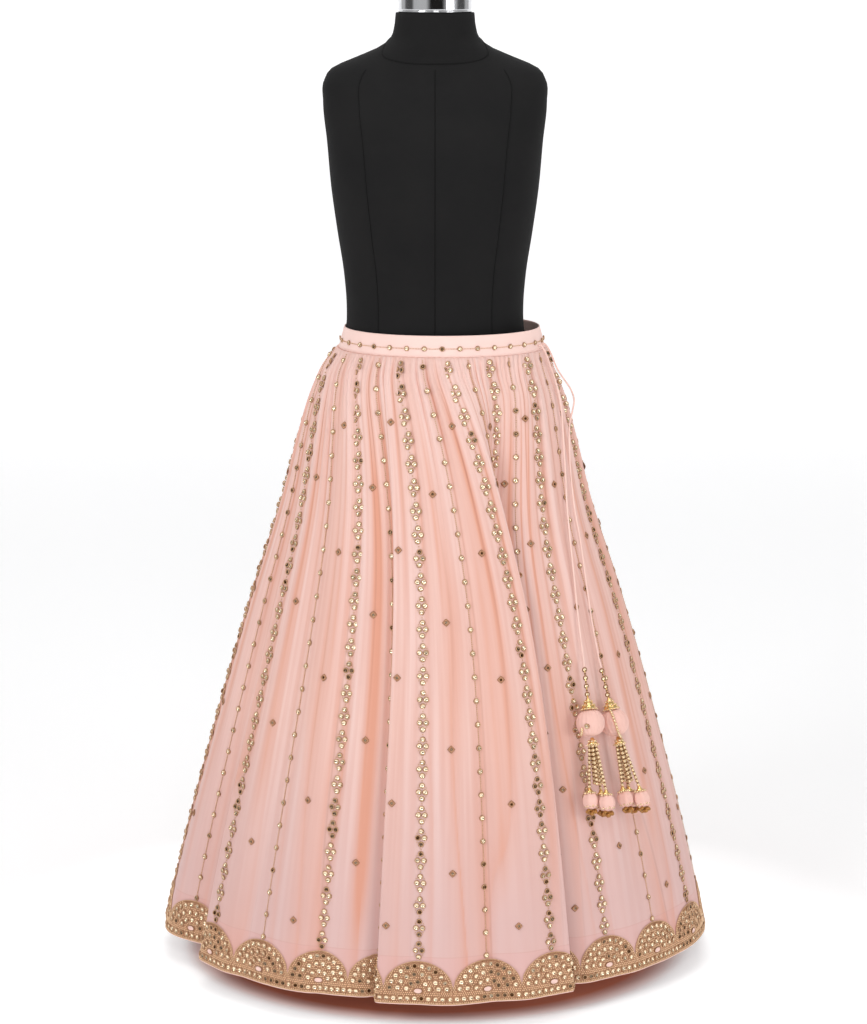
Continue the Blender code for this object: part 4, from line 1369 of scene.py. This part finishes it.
def border_work():
    """Mirrors, small beads and the plain oval of every scallop of the border."""
    spots = border_spots()
    places = tilted(border_places(spots, BORDER_LIFT + 0.0001), 7.0)
    mirror = mirror_template(MIRROR_RADIUS, MIRROR_RING, MIRROR_SIDES)
    sewn("border_mirrors", mirror, places, RINGED_MIRROR, painted_reflection_tones(places))
    places = border_places(border_seeds(spots), BORDER_LIFT + 0.0002)
    sewn("border_seeds", bead_template(0.0013, 4, 3), places, [GOLD_SEED])
    places = border_places([(0.0, OVAL_HEIGHT)], BORDER_LIFT + 0.0001)
    places[:, :3, 0] *= OVAL_SIZE[0] / MIRROR_RING
    places[:, :3, 1] *= OVAL_SIZE[1] / MIRROR_RING
    oval = mirror_template(0.0038, MIRROR_RING, 16)
    sewn("border_ovals", oval, places, [CORD_CLOTH, GOLD_RING, DARK_GOLD_AND_EDGE_SHADE])


def line_ends(line):
    """Heights at which a line starts and ends."""
    return HEM + BORDER_APEX + line.above, TOP - line.below


def line_heights(line):
    """Heights of the motifs up one line, evenly from its start to its end."""
    start, end = line_ends(line)
    return np.linspace(start, end, int(round((end - start) / line.pitch)) + 1)


def mirror_lines():
    """Lines of mirror work up the cloth: diamonds of four, or single mirrors on a chain."""
    ringed = mirror_template(MIRROR_RADIUS, MIRROR_RING, MIRROR_SIDES)
    diamond_heights = line_heights(DIAMOND_LINE)
    single_heights = line_heights(SINGLE_LINE)
    chain_heights = np.arange(*line_ends(CHAIN_LINE), CHAIN_LINE.pitch)
    diamonds = []
    singles = []
    links = []
    for arch in range(ARCHES):
        if arch % 2:
            places = seats(arch, diamond_heights, MIRROR_LIFT)
            diamonds += [moved(places, x, y) for x, y in DIAMOND_MIRRORS]
            links += [moved(places, x, y) for x, y in DIAMOND_SPRIGS]
            links.append(seats(arch, 0.5 * (diamond_heights[1:] + diamond_heights[:-1]), CHAIN_LIFT))
        else:
            singles.append(seats(arch, single_heights, MIRROR_LIFT))
            links.append(seats(arch, chain_heights, CHAIN_LIFT))
    diamonds = tilted(np.concatenate(diamonds), 6.0)
    singles = tilted(np.concatenate(singles), 6.0)
    sewn("diamond_lines", ringed, diamonds, RINGED_MIRROR, painted_reflection_tones(diamonds))
    sewn("single_lines", ringed, singles, RINGED_MIRROR, painted_reflection_tones(singles))
    sewn("line_chains", bead_template(0.0012, 4, 3), np.concatenate(links), [GOLD_RING])


def scattered_rounds():
    """Small flowers between the lines, each row set off from the next."""
    spots = [
        (between + 0.5, HEM + SCATTER_START + SCATTER_PITCH * row + 0.006 * math.sin(2.1 * between))
        for row in range(SCATTER_ROWS) for between in range(row % 2, ARCHES, 2)
    ]
    arch, height = np.array(spots).T
    places = tilted(seats(arch, height, MIRROR_LIFT), 5.0)
    # Painted reflections, kept darker than on the lines.
    tones = [0.25 * tone * tone for tone in painted_reflection_tones(places)]
    flower = mirror_template(0.0020, 0.0054, 12, 4)
    sewn("scattered_rounds", flower, places, [MIRROR, GOLD_GROUND, DARK_GOLD_AND_EDGE_SHADE], tones)


# Waistband.

def band_ring(share_up, inward):
    """Outline of the band at a share of its height."""
    low, high = BAND_FOOT, BAND_TOP
    sizes = [
        getattr(low, field) * (1.0 - share_up) + getattr(high, field) * share_up - inward
        for field in ("left", "right", "depth")
    ]
    return Oval(*sizes, low.power), low.height * (1.0 - share_up) + high.height * share_up


def on_band(count, lift, height=None):
    """Places evenly round the band's line, or at another height: x along it, z out of it."""
    oval, line = band_ring(BAND_LINE, 0.0)
    place, outward = oval.at(np.arange(count) / count)
    result = np.tile(np.eye(4), (count, 1, 1))
    result[:, :2, 2] = outward
    result[:, 2, 2] = 0.0
    result[:, 0, 0] = -outward[:, 1]
    result[:, 1, 0] = outward[:, 0]
    result[:, :3, 1] = (0.0, 0.0, 1.0)
    result[:, :2, 3] = place + outward * lift
    result[:, 2, 3] = line if height is None else height
    return result


def make_waistband():
    """A folded band with a soft top edge, and its thread line with small mirrors."""
    shares = np.arange(BAND_COLUMNS + 1) / BAND_COLUMNS
    points = np.zeros((len(BAND_SECTION), BAND_COLUMNS + 1, 3))
    for row, turn in enumerate(BAND_SECTION):
        oval, points[row, :, 2] = band_ring(turn.up, turn.inward)
        points[row, :, :2] = oval.at(shares)[0]
    across = np.tile(shares, (len(BAND_SECTION), 1))
    mesh = grid_mesh("band", points, across, points[:, :, 2], True)
    finish_piece("band", mesh, [BAND_CLOTH], "waistband")
    rounds = tilted(on_band(BAND_MIRRORS, 0.0003), 5.0)
    mirror = mirror_template(0.0026, 0.0043, MIRROR_SIDES)
    sewn("band_mirrors", mirror, rounds, RINGED_MIRROR, painted_reflection_tones(rounds))
    chain = on_band(BAND_BEADS, 0.0004)
    sewn("band_chain", bead_template(0.0009, 5, 4), chain, [GOLD_RING])
    lean = (BAND_FOOT.left - BAND_TOP.left) * (BAND_LINE - 0.09)
    stitches = on_band(BAND_STITCHES, lean, BAND_FOOT.height + STITCHES_UP)
    stitches[:, :3, 0] *= 1.6
    sewn("band_stitches", bead_template(0.0005, 4, 3), stitches, [CORD_CLOTH])


# Dress form.

def torso_point(height, angle, proud=0.0):
    """A point of the torso's surface."""
    width, depth, forward, power = [
        eased(TORSO_SECTIONS, field, height) for field in ("width", "depth", "forward", "power")
    ]
    return (
        (width + proud) * signed_power(np.cos(angle), 2.0 / power),
        (depth + proud) * signed_power(np.sin(angle), 2.0 / power) - forward,
        height,
    )


def make_torso(heights, angles):
    """The torso in black cloth, closed at its underside and its neck."""
    points = np.zeros((len(heights), len(angles), 3))
    for row, height in enumerate(heights):
        for axis, values in enumerate(torso_point(height, angles)):
            points[row, :, axis] = values
    across = np.tile(angles, (len(heights), 1))
    mesh = grid_mesh("torso_cloth", points, across, points[:, :, 2], True)
    shape = bmesh.new()
    shape.from_mesh(mesh)
    bmesh.ops.holes_fill(shape, edges=[edge for edge in shape.edges if edge.is_boundary], sides=0)
    shape.to_mesh(mesh)
    shape.free()
    finish_piece("torso_cloth", mesh, [FORM_CLOTH], "form_torso")


def make_seams(heights, angles):
    """Six upright seams of the torso, and the one round its neck, lower in front."""
    for number, degrees in enumerate(SEAM_TURNS):
        line = [
            torso_point(height, math.radians(degrees), SEAM_PROUD)
            for height in heights[SEAM_START:] if height < SEAM_TOP
        ]
        tube(f"form_seam_{number + 1}", line, 0.0008, SEAM_CLOTH, sides=1)
    ring = []
    for angle in angles[:-1]:
        front = -math.sin(angle)
        height = 1.506 - 0.019 * front - 0.016 * max(front, 0.0) ** 2
        ring.append(torso_point(height, angle, SEAM_PROUD))
    tube("form_neck_seam", ring, 0.0010, SEAM_CLOTH, cyclic=True, sides=1)


def make_stand():
    """Chrome neck cap, round base and pole."""
    cap = turned_mesh("cap_metal", [
        (0.0, NECK + 0.0480), (0.0160, NECK + 0.0474), (0.0350, NECK + 0.0440), (0.0480, NECK + 0.0388),
        (0.0548, NECK + 0.0350), (0.0572, NECK + 0.0335), (CAP_RADIUS, NECK + 0.0320),
        (CAP_RADIUS, NECK + 0.0314), (CAP_RADIUS, NECK + 0.0056), (CAP_RADIUS, NECK + 0.0050),
        (0.0566, NECK + 0.0042), (0.0566, NECK + 0.0032), (CAP_RADIUS, NECK + 0.0024),
        (CAP_RADIUS, NECK + 0.0010), (0.0565, NECK), (0.0, NECK),
    ], 96)
    finish_piece("cap_metal", cap, [CHROME], "neck_cap")
    base = turned_mesh("base_plate", [
        (0.0, BASE_HEIGHT), (BASE_RADIUS - 0.0060, BASE_HEIGHT), (BASE_RADIUS - 0.0022, BASE_HEIGHT - 0.0010),
        (BASE_RADIUS - 0.0004, BASE_HEIGHT - 0.0036), (BASE_RADIUS, BASE_HEIGHT - 0.0060),
        (BASE_RADIUS, 0.0008), (BASE_RADIUS - 0.0008, 0.0), (0.0, 0.0),
    ], 96)
    finish_piece("base_plate", base, [BLACK_METAL], "form_base")
    pole_top = TORSO_SECTIONS[0].height - 0.0003
    pole = turned_mesh("pole_tube", [
        (0.0, pole_top), (POLE_RADIUS, pole_top), (POLE_RADIUS, BASE_HEIGHT + 0.0120),
        (POLE_RADIUS + 0.0060, BASE_HEIGHT + 0.0100), (POLE_RADIUS + 0.0080, BASE_HEIGHT + 0.0003),
        (0.0, BASE_HEIGHT + 0.0003),
    ], 48)
    finish_piece("pole_tube", pole, [BLACK_METAL], "form_pole")


def make_form():
    """The limbless dress form that holds the skirt."""
    heights = np.linspace(TORSO_SECTIONS[0].height, TORSO_SECTIONS[-1].height, TORSO_ROWS + 1)
    angles = 2.0 * math.pi * np.arange(TORSO_COLUMNS + 1) / TORSO_COLUMNS
    make_torso(heights, angles)
    make_seams(heights, angles)
    make_stand()


# Camera, light and floor.

def make_camera():
    """The photograph's view: level with the form's neck, looking a little down."""
    camera = bpy.data.cameras.new("camera")
    camera.lens = LENS
    camera.sensor_width = 36.0
    view = bpy.data.objects.new("camera", camera)
    view.location = CAMERA_PLACE
    view.rotation_euler = (math.radians(90.0 - CAMERA_TILT), 0.0, 0.0)
    bpy.context.scene.collection.objects.link(view)
    bpy.context.scene.camera = view


def studio_material():
    """White that glows a little, with a warm painted shadow of the skirt on the floor under it, and painted
    light round the hem that pales its shadow there.
    """
    white, tree, shader = new_material("studio_white", STUDIO_WHITE, 0.9)
    wide, deep = SHADE_SIZE
    length = tree.nodes.new("ShaderNodeVectorMath")
    length.operation = "LENGTH"
    tree.links.new(coordinates(tree, "Object", (1.0 / wide, 1.0 / deep, 4.0)), length.inputs[0])
    away = length.outputs["Value"]
    # Painted shadow: the floor under the skirt is coloured dark and warm, in its base colour and in its glow.
    colour = mixed(tree, ramped(tree, away, 0.93, 0.80, 0.0, 0.95), STUDIO_WHITE, SHADE_COLOUR)
    tree.links.new(colour, shader.inputs["Base Color"])
    tree.links.new(colour, shader.inputs["Emission Color"])
    # Painted light: the glow rises in a ring round the hem, out to nearly twice its size, which pales the
    # skirt's shadow there; with distance it rises too, which keeps the far floor and the wall evenly white.
    edge = ramped(tree, away, 0.84, 0.95)
    near = ramped(tree, away, 1.8, 1.1, 0.0, 0.28)
    far = ramped(tree, away, 1.5, 14.0, 0.10, 0.40)
    glow_and_painted_light = combined(tree, "MULTIPLY_ADD", edge, near, far)
    tree.links.new(glow_and_painted_light, shader.inputs["Emission Strength"])
    return white


def make_stage():
    """A white floor that bends up into a white wall behind the skirt."""
    bend = [math.radians(turn) for turn in range(10, 91, 10)]
    profile = [(-SWEEP_SIDE, 0.0), (WALL_FOOT, 0.0)]
    profile += [
        (WALL_FOOT + SWEEP_BEND * math.sin(turn), SWEEP_BEND * (1.0 - math.cos(turn))) for turn in bend
    ]
    profile += [(WALL_FOOT + SWEEP_BEND, 6.0)]
    shape = bmesh.new()
    verts = [shape.verts.new((-SWEEP_SIDE, y, z)) for y, z in profile]
    edges = [shape.edges.new(pair) for pair in zip(verts, verts[1:])]
    made = bmesh.ops.extrude_edge_only(shape, edges=edges)
    right = [item for item in made["geom"] if isinstance(item, bmesh.types.BMVert)]
    bmesh.ops.translate(shape, verts=right, vec=(2.0 * SWEEP_SIDE, 0.0, 0.0))
    bmesh.ops.recalc_face_normals(shape, faces=shape.faces[:])
    sweep = bpy.data.objects.new("studio_sweep", mesh_of(shape, "studio_sweep"))
    sweep.data.materials.append(studio_material())
    bpy.context.scene.collection.objects.link(sweep)


def softbox(light):
    """A soft square light that looks at a point."""
    data = bpy.data.lights.new(light.name, "AREA")
    data.shape = "SQUARE"
    data.size = light.size
    data.energy = light.power
    lamp = bpy.data.objects.new(light.name, data)
    lamp.location = light.place
    way = Vector(light.target) - Vector(light.place)
    lamp.rotation_euler = way.to_track_quat("-Z", "Y").to_euler()
    bpy.context.scene.collection.objects.link(lamp)


def make_room():
    """A white room, whose ends look dark in the mirrors and the chrome."""
    world = bpy.data.worlds.new("studio")
    world.use_nodes = True
    bpy.context.scene.world = world
    tree = world.node_tree
    direction = tree.nodes.new("ShaderNodeTexCoord").outputs["Generated"]
    toward = tree.nodes.new("ShaderNodeVectorMath")
    toward.operation = "DOT_PRODUCT"
    toward.inputs[1].default_value = Vector((0.08, -0.98, 0.12)).normalized()
    tree.links.new(direction, toward.inputs[0])
    ahead = ramped(tree, toward.outputs["Value"], 0.84, 0.94)
    sideways = combined(tree, "ABSOLUTE", one_axis(tree, direction, "X"))
    aside = ramped(tree, sideways, 0.93, 0.975, 0.0, 0.85)
    rays = tree.nodes.new("ShaderNodeLightPath")
    dark = combined(tree, "MAXIMUM", ahead, aside)
    mirrored = combined(tree, "MULTIPLY", dark, rays.outputs["Is Glossy Ray"])
    background = tree.nodes["Background"]
    colour = mixed(tree, mirrored, (1.0, 1.0, 1.0), (0.030, 0.028, 0.026))
    tree.links.new(colour, background.inputs["Color"])
    seen = ramped(tree, rays.outputs["Is Camera Ray"], 0.0, 1.0, 0.47, 0.95)
    tree.links.new(seen, background.inputs["Strength"])


def make_light():
    """Even studio light: a key at the left, lights at the right and in front, and one above."""
    make_room()
    for light in LIGHTS:
        softbox(light)
    settings = bpy.context.scene.view_settings
    settings.view_transform = "Standard"
    settings.look = "None"


make_camera()
for tassel in TASSEL_HANGS:
    make_tassel(tassel)
make_panels()
make_border()
border_work()
mirror_lines()
scattered_rounds()
make_waistband()
make_form()
make_stage()
make_light()
